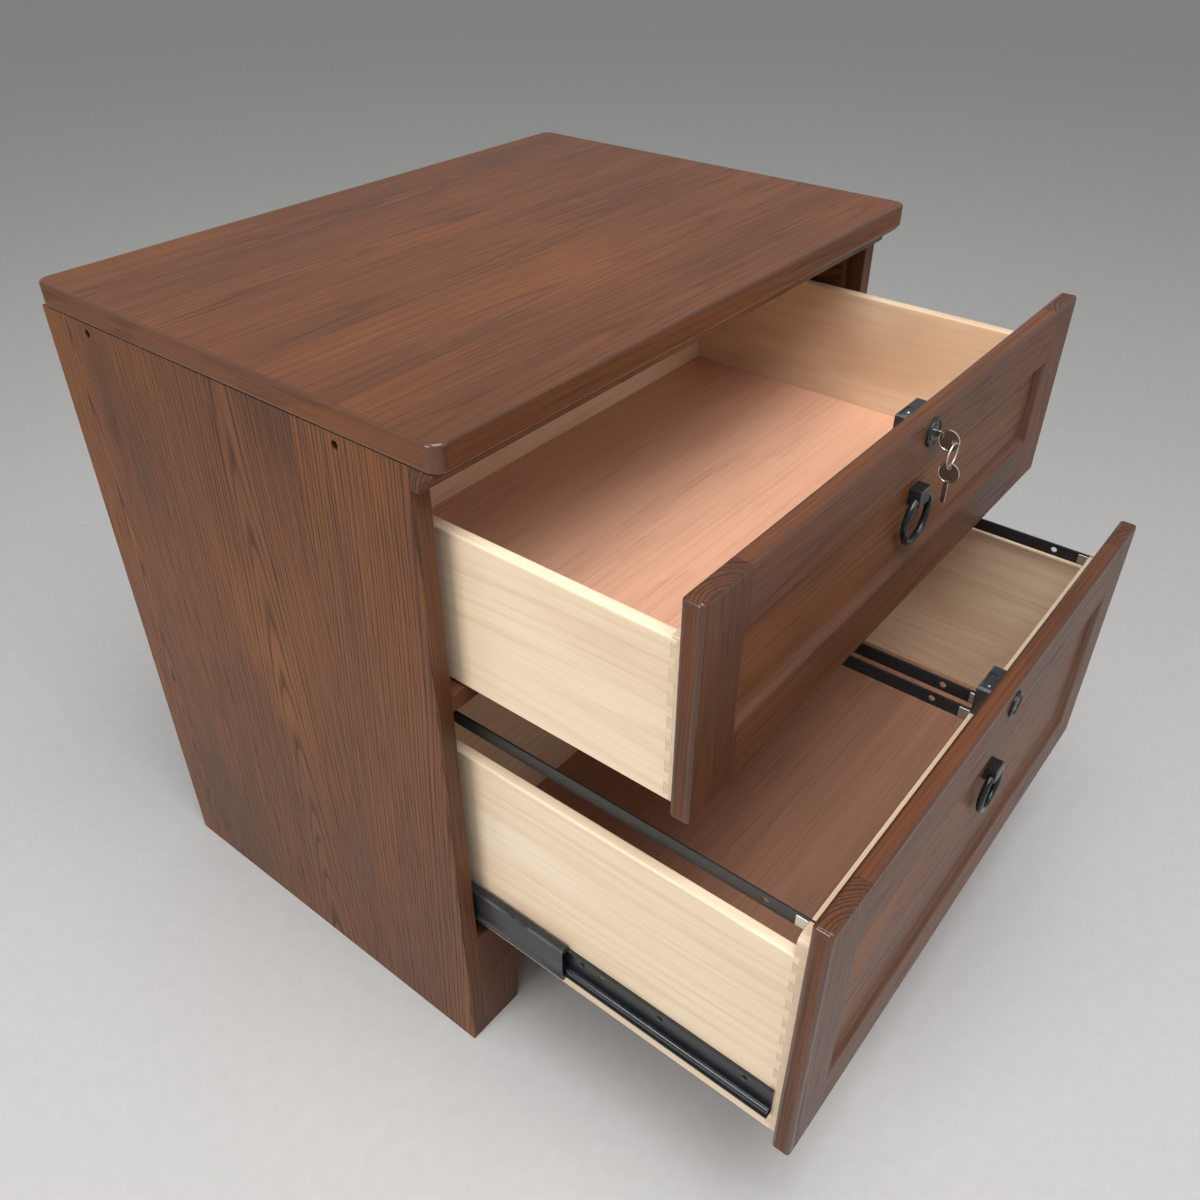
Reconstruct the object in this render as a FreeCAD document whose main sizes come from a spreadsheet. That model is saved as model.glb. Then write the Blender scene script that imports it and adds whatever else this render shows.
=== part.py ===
import FreeCAD, Part
import os
import re

import Sketcher

# A two-drawer lateral filing cabinet, in millimetres. X runs to the right as one stands in front
# of it, Y to the back and Z up. It is drawn with both drawers open: the upper one by top_open,
# the lower one by low_open. The origin is on the floor, at the middle of what it then covers.

# Driving sizes: name, value
SIZES = (
    # Carcass
    ("carcass_width", 760),
    ("carcass_depth", 518),
    ("side_thick", 20),
    ("skin_thick", 3),
    ("stile_depth", 39.6),
    ("back_thick", 6),
    ("back_rebate", 10),
    ("slab_thick", 26),
    ("slab_side_lip", 1),
    ("slab_front_lip", 32.4),
    ("slab_back_lip", 0.6),
    ("slab_corner_radius", 13),
    ("slab_edge_radius", 3.5),
    ("cove_height", 21.5),
    ("cove_reach", 25),
    ("cove_radius", 16),
    ("rail_depth", 60),
    ("middle_rail_thick", 19.5),
    ("bottom_rail_bottom", 94),
    ("bottom_rail_height", 70),
    ("bottom_rail_thick", 20),
    ("foot_top_width", 66),
    ("foot_floor_width", 53),
    ("foot_thick", 20),
    ("dust_panel_rise", 6),
    ("dust_panel_thick", 12),
    ("back_rail_height", 60),
    ("back_rail_thick", 18),
    # Wooden running gear of the upper drawer
    ("run_gap", 0.3),
    ("runner_width", 40),
    ("guide_setback", 0.5),
    ("kicker_width", 20),
    ("kicker_height", 20),
    ("kicker_gap", 1),
    ("cleat_width", 20),
    # Screws through the side panels into the cleats
    ("side_screw_front", 84.3),
    ("side_screw_back", 441.3),
    ("side_screw_drop", 10.5),
    ("side_screw_sink", 8),
    ("side_screw_play", 0.4),
    ("side_screw_head_radius", 3.6),
    ("side_screw_head_height", 2.4),
    ("side_screw_shank_radius", 2),
    ("side_screw_bite", 12),
    # Drawer fronts and boxes, the sizes that both drawers share
    ("front_gap", 2.5),
    ("front_thick", 18.5),
    ("front_edge_radius", 4),
    ("front_stile_width", 62),
    ("moulding_width", 5),
    ("panel_recess", 7),
    ("panel_thick", 6),
    ("panel_groove", 8),
    ("panel_play", 0.5),
    ("slide_gap", 15),
    ("box_length", 455),
    ("box_side_thick", 12),
    ("box_front_thick", 14),
    ("box_lap", 9),
    ("box_bottom_thick", 6),
    ("box_bottom_groove", 6),
    ("pin_narrow", 11),
    ("pin_wide", 13.4),
    # Upper drawer
    ("top_open", 251),
    ("top_head_gap", 5),
    ("top_front_height", 211.3),
    ("top_sill_gap", 2.2),
    ("top_lower_rail", 62),
    ("top_upper_rail", 60),
    ("top_side_lift", 3.5),
    ("top_side_drop", 49),
    ("top_box_front_rise", 2),
    ("top_box_corner", 1.5),
    ("top_bottom_rise", 17),
    ("top_lock_drop", 18),
    ("top_housing_height", 46),
    ("top_housing_offset", 11),
    # Lower drawer
    ("low_open", 381),
    ("low_head_gap", 5.5),
    ("low_front_height", 318),
    ("low_sill_gap", 3.5),
    ("low_lower_rail", 60),
    ("low_upper_rail", 72),
    ("low_side_lift", 5),
    ("low_side_drop", 63.5),
    ("low_box_front_rise", 24),
    ("low_box_corner", 8),
    ("low_bottom_rise", 16),
    ("low_lock_drop", 23),
    ("low_housing_offset", 1.5),
    # Ring pulls
    ("pull_block_width", 19),
    ("pull_block_height", 16),
    ("pull_block_depth", 13),
    ("pull_block_radius", 1.5),
    ("pull_pin_drop", 2.5),
    ("pull_pin_reach", 8),
    ("pull_bar_radius", 3.6),
    ("pull_ring_radius", 24),
    ("pull_shoulder", 1.5),
    ("pin_clearance", 0.08),
    # Locks, bolts and keys
    ("lock_face_radius", 13.6),
    ("lock_face_height", 2.8),
    ("lock_face_bevel", 1),
    ("lock_face_gap", 0.2),
    ("lock_barrel_radius", 9.5),
    ("lock_barrel_reach", 4),
    ("lock_clearance", 0.1),
    ("keyway_width", 2.2),
    ("keyway_height", 9),
    ("keyway_depth", 16),
    ("housing_width", 42),
    ("housing_drop", 6),
    ("housing_radius", 3),
    ("bolt_width", 16),
    ("bolt_thick", 5),
    ("bolt_height", 24),
    ("bolt_setback", 6),
    ("bolt_clearance", 0.4),
    ("bolt_travel", 18),
    ("bolt_sink", 0.5),
    ("mortise_play", 2),
    ("key_bow_radius", 9.8),
    ("key_bow_thick", 2),
    ("key_bow_stand", 12.6),
    ("key_bow_drop", 3.5),
    ("key_hole_radius", 2.5),
    ("key_hole_offset", 5.6),
    ("key_neck_height", 6.5),
    ("key_blade_height", 8),
    ("key_blade_thick", 1.8),
    ("key_blade_length", 30.5),
    ("key_bite", 12),
    ("link_radius", 10.5),
    ("link_wire_radius", 0.8),
    ("link_gap", 0.1),
    # Slides of the lower drawer
    ("slide_rise", 46),
    ("slide_height", 52),
    ("slide_sheet", 2.4),
    ("slide_web", 1.6),
    ("slide_race", 5),
    ("slide_outer_width", 11),
    ("slide_middle_start", 3),
    ("slide_middle_width", 9),
    ("slide_inner_width", 9),
    ("slide_outer_setback", 19.6),
    ("slide_outer_length", 450),
    ("slide_middle_setback", 23.6),
    ("slide_middle_length", 430),
    ("slide_middle_open", 140.97),
    ("slide_inner_setback", 10),
    ("slide_inner_length", 440),
    ("slide_slot_start", 190),
    ("slide_slot_length", 8),
    ("slide_slot_height", 3.5),
    ("slide_hole_rise", 7),
    ("slide_screw_first", 30),
    ("slide_screw_spacing", 94),
    ("slide_screw_head_radius", 2.6),
    ("slide_screw_head_height", 1.2),
    ("slide_screw_shank_radius", 1.6),
    ("slide_screw_bite", 9),
    # Hanging-file rails of the lower drawer
    ("hanging_rail_thick", 2),
    ("hanging_rail_height", 15),
    ("hanging_rail_near", 13),
    ("hanging_rail_wall_gap", 9),
    ("hanging_rail_seat", 8),
    ("hanging_rail_hole_radius", 3.5),
    ("hanging_rail_hole_setback", 40),
    ("clip_thick", 1.2),
    ("clip_height", 12),
    ("clip_arm", 12),
    ("clip_foot", 7.5),
    # How far a cutting solid runs past what it cuts
    ("overrun", 5),
)

# Counts of repeated things
TOP_PIN_COUNT = 7
LOW_PIN_COUNT = 10
SLIDE_SCREW_COUNT = 4

# Half a step, to centre a thing in its own stretch of a row
HALF_SHARE = 0.5

# How much of the free height of a front's opening lies under the block of its ring pull
PULL_SHARE = 0.814

# Places and sizes that follow from the driving ones: name, formula
PLACES = [
    ("half_carcass", "carcass_width / 2"),
    ("half_inside", "half_carcass - side_thick"),
    ("front_reach", "low_open - panel_recess + pull_block_depth"),
    ("back_plane", "(front_reach + carcass_depth - slab_back_lip) / 2"),
    ("front_plane", "back_plane - carcass_depth"),
    ("back_inside", "back_plane - back_thick"),
    ("rail_back", "front_plane + rail_depth"),
    ("bottom_rail_top", "bottom_rail_bottom + bottom_rail_height"),
    ("low_front_bottom", "bottom_rail_top + low_sill_gap"),
    ("low_front_top", "low_front_bottom + low_front_height"),
    ("middle_rail_bottom", "low_front_top + low_head_gap"),
    ("middle_rail_top", "middle_rail_bottom + middle_rail_thick"),
    ("top_front_bottom", "middle_rail_top + top_sill_gap"),
    ("top_front_top", "top_front_bottom + top_front_height"),
    ("top_rail_bottom", "top_front_top + top_head_gap"),
    ("carcass_height", "top_rail_bottom + cove_height"),
    ("top_side_bottom", "middle_rail_top + top_side_lift"),
    ("top_side_height", "top_front_top - top_side_drop - top_side_bottom"),
    ("low_side_bottom", "bottom_rail_top + low_side_lift"),
    ("low_side_height", "low_front_top - low_side_drop - low_side_bottom"),
    ("front_half", "half_inside - front_gap"),
    ("box_half", "half_inside - slide_gap"),
    ("box_inside_half", "box_half - box_side_thick"),
    ("guide_thick", "slide_gap - run_gap"),
    ("guide_front", "front_plane + front_thick + guide_setback"),
    ("back_rail_front", "back_inside - back_rail_thick"),
    ("runner_top", "top_side_bottom - run_gap"),
    ("kicker_bottom", "top_side_bottom + top_side_height + kicker_gap"),
    ("dust_panel_bottom", "bottom_rail_bottom + dust_panel_rise"),
    ("dust_panel_top", "dust_panel_bottom + dust_panel_thick"),
    ("lock_bore_radius", "lock_barrel_radius + lock_clearance"),
    ("pin_bore_radius", "pull_bar_radius + pin_clearance"),
    ("pull_pin_half", "pull_block_width / 2 + pull_shoulder"),
    ("pull_ring_drop", "sqrt(pull_ring_radius^2 - pull_pin_half^2)"),
    ("pull_arc_start", "acos(pull_pin_half / pull_ring_radius) / 1 deg"),
    ("slide_centre", "low_side_bottom + slide_rise"),
    ("slide_middle_height", "slide_height - 2 * slide_sheet - 2 * run_gap"),
    ("slide_inner_height", "slide_middle_height - 2 * slide_race - 2 * run_gap"),
    ("slide_middle_front", "front_plane + slide_middle_setback - slide_middle_open"),
    ("bolt_start", "front_thick + bolt_setback"),
    ("hanging_rail_far", "box_inside_half - hanging_rail_wall_gap"),
    ("hanging_rail_top", "low_side_bottom + low_side_height + low_box_front_rise"),
    ("hanging_rail_bottom", "hanging_rail_top - hanging_rail_height"),
    ("low_housing_height", "low_front_top - housing_drop - hanging_rail_top"),
    ("clip_bottom", "hanging_rail_bottom + (hanging_rail_height - clip_height) / 2"),
]
for d in ("top", "low"):
    PLACES += [
        (f"{d}_front_plane", f"front_plane - {d}_open"),
        (f"{d}_box_start", f"{d}_front_plane + front_thick"),
        (f"{d}_box_end", f"{d}_box_start + box_length"),
        (f"{d}_opening_bottom", f"{d}_front_bottom + {d}_lower_rail"),
        (f"{d}_opening_top", f"{d}_front_top - {d}_upper_rail"),
        (f"{d}_pull_room", f"{d}_opening_top - {d}_opening_bottom - pull_block_height"),
        (f"{d}_side_top", f"{d}_side_bottom + {d}_side_height"),
        (f"{d}_panel_front", f"{d}_front_plane + panel_recess"),
        (f"{d}_bottom_underside", f"{d}_side_bottom + {d}_bottom_rise"),
        (f"{d}_lock_height", f"{d}_front_top - {d}_lock_drop"),
        (f"{d}_housing_bottom", f"{d}_front_top - housing_drop - {d}_housing_height"),
        (f"{d}_pull_height", f"{d}_opening_bottom + {PULL_SHARE} * {d}_pull_room"
                             " + pull_block_height / 2"),
        (f"{d}_pull_pin_height", f"{d}_pull_height - pull_pin_drop"),
        (f"{d}_pull_pin_plane", f"{d}_panel_front - pull_pin_reach"),
        (f"{d}_bolt_front", f"{d}_front_plane + bolt_start"),
    ]

WORD = re.compile(r"\b([a-z]\w*)\b(?!\()")
UNITS = ("deg",)

doc = FreeCAD.newDocument("FilingCabinet")
sheet = doc.addObject("Spreadsheet::Sheet", "Sizes")
nodes = []


def fill_sheet():
    """Write the driving sizes as numbers and the places as formulas, each with its alias."""
    rows = [(name, str(value)) for name, value in SIZES]
    rows += [(name, "=" + formula) for name, formula in PLACES]
    for row, (name, text) in enumerate(rows, start=1):
        sheet.set(f"A{row}", name)
        sheet.set(f"B{row}", text)
        sheet.setAlias(f"B{row}", name)
    doc.recompute()


def on_sheet(formula):
    """The formula with the sheet's name put before each of its cells."""
    return WORD.sub(lambda m: m[0] if m[1] in UNITS else "Sizes." + m[1], formula)


def number(formula):
    """What a formula comes to now, for the first drawing of a sketch."""
    return float(sheet.evalExpression(on_sheet(formula)))


def bind(item, formulas):
    """Tie properties of an object to formulas over the sheet."""
    for name, formula in formulas.items():
        item.setExpression(name, on_sheet(formula))


def place(item, at):
    """Put an object's own origin at three formulas."""
    for axis, formula in zip("xyz", at):
        item.setExpression(f"Placement.Base.{axis}", on_sheet(formula))
    return item


def keep(label, item):
    """Give a finished sub-part its name and put it on the list of nodes."""
    item.Label = label
    nodes.append(item)
    return item


# Plain solids

def board(name, size, at):
    """A square-edged board."""
    item = doc.addObject("Part::Box", name)
    bind(item, dict(zip(("Length", "Width", "Height"), size)))
    return place(item, at)


AXIS_TURNS = {
    "x": FreeCAD.Rotation(FreeCAD.Vector(0, 1, 0), 90),
    "y": FreeCAD.Rotation(FreeCAD.Vector(-1, 0, 0), 90),
    "z": FreeCAD.Rotation(),
}


def rod(name, axis, radius, length, at):
    """A cylinder that starts at a point and runs along a positive axis."""
    item = doc.addObject("Part::Cylinder", name)
    item.Placement.Rotation = AXIS_TURNS[axis]
    bind(item, {"Radius": radius, "Height": length})
    return place(item, at)


def cut(name, base, *tools):
    """The base less each tool."""
    for index, tool in enumerate(tools, start=1):
        last = index == len(tools)
        item = doc.addObject("Part::Cut", name if last else name + "_part_cut")
        item.Base = base
        item.Tool = tool
        base = item
    return base


def joined(name, *items):
    """Solids fused into one."""
    item = doc.addObject("Part::MultiFuse", name)
    item.Shapes = list(items)
    item.Refine = True
    return item


def group(name, *items):
    """Separate solids under one name."""
    item = doc.addObject("Part::Compound", name)
    item.Links = list(items)
    return item


def mirrored(name, source):
    """The same piece on the other side of the middle plane."""
    item = doc.addObject("Part::Mirroring", name)
    item.Source = source
    item.Normal = FreeCAD.Vector(1, 0, 0)
    return item


# Solids from sketches

def sketch_on(body, role):
    """An empty sketch on one of the body's own planes."""
    sketch = body.newObject("Sketcher::SketchObject", body.Name + "_outline")
    plane = next(f for f in body.Origin.OriginFeatures if f.Role == role)
    sketch.AttachmentSupport = (plane, [""])
    sketch.MapMode = "FlatFace"
    return sketch


def outline(body, role, corners):
    """A closed outline of straight edges, each corner held by its two formulas."""
    sketch = sketch_on(body, role)
    points = [FreeCAD.Vector(number(x), number(y), 0) for x, y in corners]
    count = len(points)
    for i, point in enumerate(points):
        sketch.addGeometry(Part.LineSegment(point, points[(i + 1) % count]), False)
    for i in range(count):
        sketch.addConstraint(Sketcher.Constraint("Coincident", i, 2, (i + 1) % count, 1))
    for i, (corner, point) in enumerate(zip(corners, points)):
        for kind, formula, value, axis in (
            ("DistanceX", corner[0], point.x, -2),
            ("DistanceY", corner[1], point.y, -1),
        ):
            if formula == "0":
                sketch.addConstraint(Sketcher.Constraint("PointOnObject", i, 1, axis))
            else:
                held = sketch.addConstraint(Sketcher.Constraint(kind, -1, 1, i, 1, value))
                bind(sketch, {f"Constraints[{held}]": formula})
    return sketch


def padded(name, role, corners, length, at):
    """A body with one outline, given a thickness."""
    body = doc.addObject("PartDesign::Body", name)
    pad = body.newObject("PartDesign::Pad", name + "_pad")
    pad.Profile = outline(body, role, corners)
    bind(pad, {"Length": length})
    doc.recompute()
    return place(body, at)


def turned(name, corners, at):
    """A body turned about its own Y axis; each corner is a radius and a distance along Y."""
    body = doc.addObject("PartDesign::Body", name)
    sketch = outline(body, "XY_Plane", corners)
    spin = body.newObject("PartDesign::Revolution", name + "_turn")
    spin.Profile = sketch
    spin.ReferenceAxis = (sketch, ["V_Axis"])
    spin.Angle = 360
    doc.recompute()
    return place(body, at)


SIDES = {
    "left": ("XMin", "XMin", "XMax"),
    "right": ("XMax", "XMin", "XMax"),
    "front": ("YMin", "YMin", "YMax"),
    "back": ("YMax", "YMin", "YMax"),
    "bottom": ("ZMin", "ZMin", "ZMax"),
    "top": ("ZMax", "ZMin", "ZMax"),
}
NEAR = 1e-4


def edges_at(feature, places):
    """Names of the edges that lie in every side of one of the places, such as front and top."""
    whole = feature.Shape.BoundBox
    found = []
    for index, edge in enumerate(feature.Shape.Edges, start=1):
        box = edge.BoundBox
        for sides in places:
            limits = [(getattr(whole, SIDES[s][0]), getattr(box, SIDES[s][1]),
                       getattr(box, SIDES[s][2])) for s in sides]
            if all(abs(low - wall) < NEAR and abs(high - wall) < NEAR for wall, low, high in limits):
                found.append(f"Edge{index}")
                break
    return found


def eased_board(name, size, at, roundings):
    """A board with rounded edges. roundings holds pairs of a radius and the places of edges."""
    length, width, height = size
    corners = (("0", "0"), (length, "0"), (length, width), ("0", width))
    body = padded(name, "XY_Plane", corners, height, at)
    for radius, places in roundings:
        base = body.Tip
        rounding = body.newObject("PartDesign::Fillet", name + "_rounding")
        rounding.Base = (base, edges_at(base, places))
        bind(rounding, {"Radius": radius})
        doc.recompute()
    return body


# Carcass

def make_slab():
    corners = [("left", "front"), ("right", "front"), ("left", "back"), ("right", "back")]
    keep("top_slab", eased_board(
        "top_slab",
        ("carcass_width + 2 * slab_side_lip", "carcass_depth + slab_front_lip + slab_back_lip",
         "slab_thick"),
        ("-half_carcass - slab_side_lip", "front_plane - slab_front_lip", "carcass_height"),
        [("slab_corner_radius", corners), ("slab_edge_radius", [("top",), ("bottom",)])],
    ))


def side_screw(name, setback):
    """A screw sunk deep in a round hole through the left panel. Gives the screw and the hole."""
    place_along = (f"front_plane + {setback}", "carcass_height - side_screw_drop")
    seat = ("-half_carcass + side_screw_sink", *place_along)
    head = rod(name + "_head", "x", "side_screw_head_radius", "side_screw_head_height", seat)
    shank = rod(name + "_shank", "x", "side_screw_shank_radius",
                "side_thick - side_screw_sink + side_screw_bite", seat)
    hole = rod(name + "_hole", "x", "side_screw_head_radius + side_screw_play",
               "side_screw_sink + overrun", ("-half_carcass - overrun", *place_along))
    return joined(name, head, shank), hole


def make_sides():
    """Side panels with a rebate for the back and a step for the solid front stile."""
    outer = (
        ("0", "0"), ("skin_thick", "0"), ("skin_thick", "stile_depth"),
        ("side_thick", "stile_depth"), ("side_thick", "carcass_depth - back_thick"),
        ("side_thick - back_rebate", "carcass_depth - back_thick"),
        ("side_thick - back_rebate", "carcass_depth"), ("0", "carcass_depth"),
    )
    panel = padded("side_sheet", "XY_Plane", outer, "carcass_height",
                   ("-half_carcass", "front_plane", "0"))
    front_screw, front_hole = side_screw("front_screw", "side_screw_front")
    back_screw, back_hole = side_screw("back_screw", "side_screw_back")
    screws = group("left_screws", front_screw, back_screw)
    left = keep("left_side_panel", cut("left_side_panel", panel, screws, front_hole, back_hole))
    keep("right_side_panel", mirrored("right_side_panel", left))
    stile = keep("left_front_stile", board(
        "left_front_stile", ("side_thick - skin_thick", "stile_depth", "carcass_height"),
        ("-half_carcass + skin_thick", "front_plane", "0")))
    keep("right_front_stile", mirrored("right_front_stile", stile))
    keep("side_screws", group("side_screws", screws, mirrored("right_screws", screws)))

    cleat = board("cleat", ("cleat_width", "back_rail_front - rail_back", "cove_height"),
                  ("-half_inside", "rail_back", "top_rail_bottom"))
    left_cleat = cut("left_cleat", cleat, screws)
    keep("slab_cleats", group("slab_cleats", left_cleat, mirrored("right_cleat", left_cleat)))


def make_cove():
    """The hollow moulding that carries the slab's front lip."""
    at = ("-half_carcass", "front_plane - cove_reach", "top_rail_bottom")
    stock = board("cove_stock", ("carcass_width", "cove_reach", "cove_height"), at)
    hollow = rod("cove_hollow", "x", "cove_radius", "carcass_width + 2 * overrun",
                 ("-half_carcass - overrun", at[1], at[2]))
    keep("cove_moulding", cut("cove_moulding", stock, hollow))


def make_rails():
    """Front rails, with a mortise in the upper two for the lock bolts."""
    across = "2 * half_inside"
    hole = ("bolt_width + 2 * mortise_play", "bolt_thick + 2 * mortise_play",
            "bolt_travel + mortise_play")
    for name, bottom, thick, drawer in (
        ("top_rail", "top_rail_bottom", "cove_height", "top"),
        ("middle_rail", "middle_rail_bottom", "middle_rail_thick", "low"),
    ):
        rail = board(name + "_stock", (across, "rail_depth", thick),
                     ("-half_inside", "front_plane", bottom))
        mortise = board(name + "_mortise", hole, (
            "-bolt_width / 2 - mortise_play", "front_plane + bolt_start - mortise_play",
            f"{drawer}_front_top - housing_drop"))
        keep(name, cut(name, rail, mortise))
    keep("bottom_rail", board(
        "bottom_rail", (across, "bottom_rail_thick", "bottom_rail_height"),
        ("-half_inside", "front_plane", "bottom_rail_bottom")))


def make_feet():
    """Slant-sided blocks under the ends of the bottom rail."""
    corners = (("0", "0"), ("foot_floor_width", "0"), ("foot_top_width", "bottom_rail_bottom"),
               ("0", "bottom_rail_bottom"))
    left = padded("left_foot", "XZ_Plane", corners, "foot_thick",
                  ("-half_inside", "front_plane + foot_thick", "0"))
    keep("front_feet", group("front_feet", left, mirrored("right_foot", left)))


def make_back():
    across = "2 * half_inside"
    keep("back_panel", board(
        "back_panel", ("2 * (half_inside + back_rebate)", "back_thick",
                       "carcass_height - dust_panel_bottom"),
        ("-half_inside - back_rebate", "back_inside", "dust_panel_bottom")))
    upper = board("upper_back_rail", (across, "back_rail_thick", "back_rail_height"),
                  ("-half_inside", "back_rail_front", "carcass_height - back_rail_height"))
    lower = board("lower_back_rail", (across, "back_rail_thick", "back_rail_height"),
                  ("-half_inside", "back_rail_front", "dust_panel_top"))
    keep("back_rails", group("back_rails", upper, lower))
    keep("dust_panel", board(
        "dust_panel", (across, "back_inside - front_plane - bottom_rail_thick",
                       "dust_panel_thick"),
        ("-half_inside", "front_plane + bottom_rail_thick", "dust_panel_bottom")))


def make_running_gear():
    """Runners under the upper drawer's sides, guides beside them and kickers above."""
    runner = board("left_runner", ("runner_width", "back_inside - rail_back",
                                   "runner_top - middle_rail_bottom"),
                   ("-half_inside", "rail_back", "middle_rail_bottom"))
    guide = board("left_guide", ("guide_thick", "back_rail_front - guide_front",
                                 "top_rail_bottom - runner_top"),
                  ("-half_inside", "guide_front", "runner_top"))
    kicker = board("left_kicker", ("kicker_width", "back_rail_front - rail_back", "kicker_height"),
                   ("-half_inside + guide_thick", "rail_back", "kicker_bottom"))
    for name, left in (("runners", runner), ("side_guides", guide), ("kickers", kicker)):
        keep(name, group(name, left, mirrored("right_of_" + name, left)))


# Drawer fronts

def make_front(d):
    """Two stiles and two rails round a recessed panel, with a bevelled moulding."""
    plane = f"{d}_front_plane"
    inner_half = "front_half - front_stile_width"
    opening_bottom = f"{d}_opening_bottom"
    opening_top = f"{d}_opening_top"

    bevel = doc.addObject("Part::Wedge", d + "_bevel")
    bind(bevel, {
        "Ymin": plane, "Ymax": f"{d}_panel_front",
        "Xmin": f"-({inner_half}) - moulding_width", "Xmax": f"{inner_half} + moulding_width",
        "X2min": f"-({inner_half})", "X2max": inner_half,
        "Zmin": f"{opening_bottom} - moulding_width", "Zmax": f"{opening_top} + moulding_width",
        "Z2min": opening_bottom, "Z2max": opening_top,
    })
    groove = board(
        d + "_groove",
        (f"2 * ({inner_half} + panel_groove)", "panel_thick",
         f"{opening_top} - {opening_bottom} + 2 * panel_groove"),
        (f"-({inner_half}) - panel_groove", f"{d}_panel_front", f"{opening_bottom} - panel_groove"))

    ends = [("top", "front"), ("top", "back"), ("top", "left"),
            ("bottom", "front"), ("bottom", "back"), ("bottom", "left")]
    stile = eased_board(
        d + "_stile_stock", ("front_stile_width", "front_thick", f"{d}_front_height"),
        ("-front_half", plane, f"{d}_front_bottom"),
        [("front_edge_radius", [("left", "front"), ("left", "back")] + ends)])
    left = keep(f"{d}_front_left_stile", cut(f"{d}_front_left_stile", stile, bevel, groove))
    keep(f"{d}_front_right_stile", mirrored(f"{d}_front_right_stile", left))

    lower = eased_board(
        d + "_lower_stock", (f"2 * ({inner_half})", "front_thick", f"{d}_lower_rail"),
        (f"-({inner_half})", plane, f"{d}_front_bottom"),
        [("front_edge_radius", [("bottom", "front"), ("bottom", "back")])])
    keep(f"{d}_front_lower_rail", cut(f"{d}_front_lower_rail", lower, bevel, groove))
    upper = eased_board(
        d + "_upper_stock", (f"2 * ({inner_half})", "front_thick", f"{d}_upper_rail"),
        (f"-({inner_half})", plane, opening_top),
        [("front_edge_radius", [("top", "front"), ("top", "back")])])
    bore = rod(d + "_lock_bore", "y", "lock_bore_radius", "front_thick + 2 * overrun",
               ("0", f"{plane} - overrun", f"{d}_lock_height"))
    keep(f"{d}_front_upper_rail", cut(f"{d}_front_upper_rail", upper, bevel, groove, bore))

    edge = "(panel_groove - panel_play)"
    keep(f"{d}_front_panel", board(
        d + "_front_panel",
        (f"2 * ({inner_half} + {edge})", "panel_thick",
         f"{opening_top} - {opening_bottom} + 2 * {edge}"),
        (f"-({inner_half}) - {edge}", f"{d}_panel_front", f"{opening_bottom} - {edge}")))


# Drawer boxes

def dovetail_pins(d):
    """Wedges that the front's pins leave in the left side board, wide end inside."""
    pins = []
    pin_count = TOP_PIN_COUNT if d == "top" else LOW_PIN_COUNT
    for index in range(pin_count):
        middle = f"{d}_side_bottom + {d}_side_height * {index + HALF_SHARE} / {pin_count}"
        pin = doc.addObject("Part::Wedge", d + "_pin")
        bind(pin, {
            "Ymin": f"{d}_box_start + box_lap", "Ymax": f"{d}_box_start + box_front_thick",
            "Xmin": "-box_half", "Xmax": "-box_inside_half",
            "X2min": "-box_half", "X2max": "-box_inside_half",
            "Zmin": f"{middle} - pin_narrow / 2", "Zmax": f"{middle} + pin_narrow / 2",
            "Z2min": f"{middle} - pin_wide / 2", "Z2max": f"{middle} + pin_wide / 2",
        })
        pins.append(pin)
    return group(d + "_pins", *pins)


def bottom_sheet(d, name):
    """The drawer bottom, which is also the groove that holds it."""
    return board(
        name,
        ("2 * (box_inside_half + box_bottom_groove)",
         "box_length - box_front_thick - box_side_thick + 2 * box_bottom_groove",
         "box_bottom_thick"),
        ("-box_inside_half - box_bottom_groove",
         f"{d}_box_start + box_front_thick - box_bottom_groove", f"{d}_bottom_underside"))


def make_box(d, side_tools=(), end_tools=()):
    """Two sides dovetailed into a lapped front, a back and a bottom in grooves."""
    groove = bottom_sheet(d, d + "_bottom_groove")
    front_height = f"{d}_side_height + {d}_box_front_rise"
    back_height = front_height if d == "low" else f"{d}_side_height"
    side = board(d + "_side_stock", ("box_side_thick", "box_length - box_lap", f"{d}_side_height"),
                 ("-box_half", f"{d}_box_start + box_lap", f"{d}_side_bottom"))
    left = keep(f"{d}_box_left_side", cut(f"{d}_box_left_side", side, dovetail_pins(d), groove,
                                          *side_tools))
    right = keep(f"{d}_box_right_side", mirrored(f"{d}_box_right_side", left))

    front = eased_board(
        d + "_box_front_stock",
        ("2 * box_half", "box_front_thick", front_height),
        ("-box_half", f"{d}_box_start", f"{d}_side_bottom"),
        [(f"{d}_box_corner", [("left", "top"), ("right", "top")])])
    notch = board(
        d + "_housing_notch",
        ("housing_width", "box_front_thick", f"{d}_front_top - {d}_housing_bottom"),
        (f"{d}_housing_offset - housing_width / 2", f"{d}_box_start", f"{d}_housing_bottom"))
    keep(f"{d}_box_front", cut(f"{d}_box_front", front, left, right, groove, notch, *end_tools))

    back = board(d + "_back_stock", ("2 * box_inside_half", "box_side_thick", back_height),
                 ("-box_inside_half", f"{d}_box_end - box_side_thick", f"{d}_side_bottom"))
    keep(f"{d}_box_back", cut(f"{d}_box_back", back, groove, *end_tools))
    keep(f"{d}_box_bottom", bottom_sheet(d, d + "_box_bottom"))


# Ring pulls

# Turns a ring's plane upright, so that its arc starts at the lowest point and climbs to the right
ARC_FROM_BELOW = FreeCAD.Rotation(FreeCAD.Vector(0, 0, -1), FreeCAD.Vector(1, 0, 0),
                                  FreeCAD.Vector(0, -1, 0), "XYZ")


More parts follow.
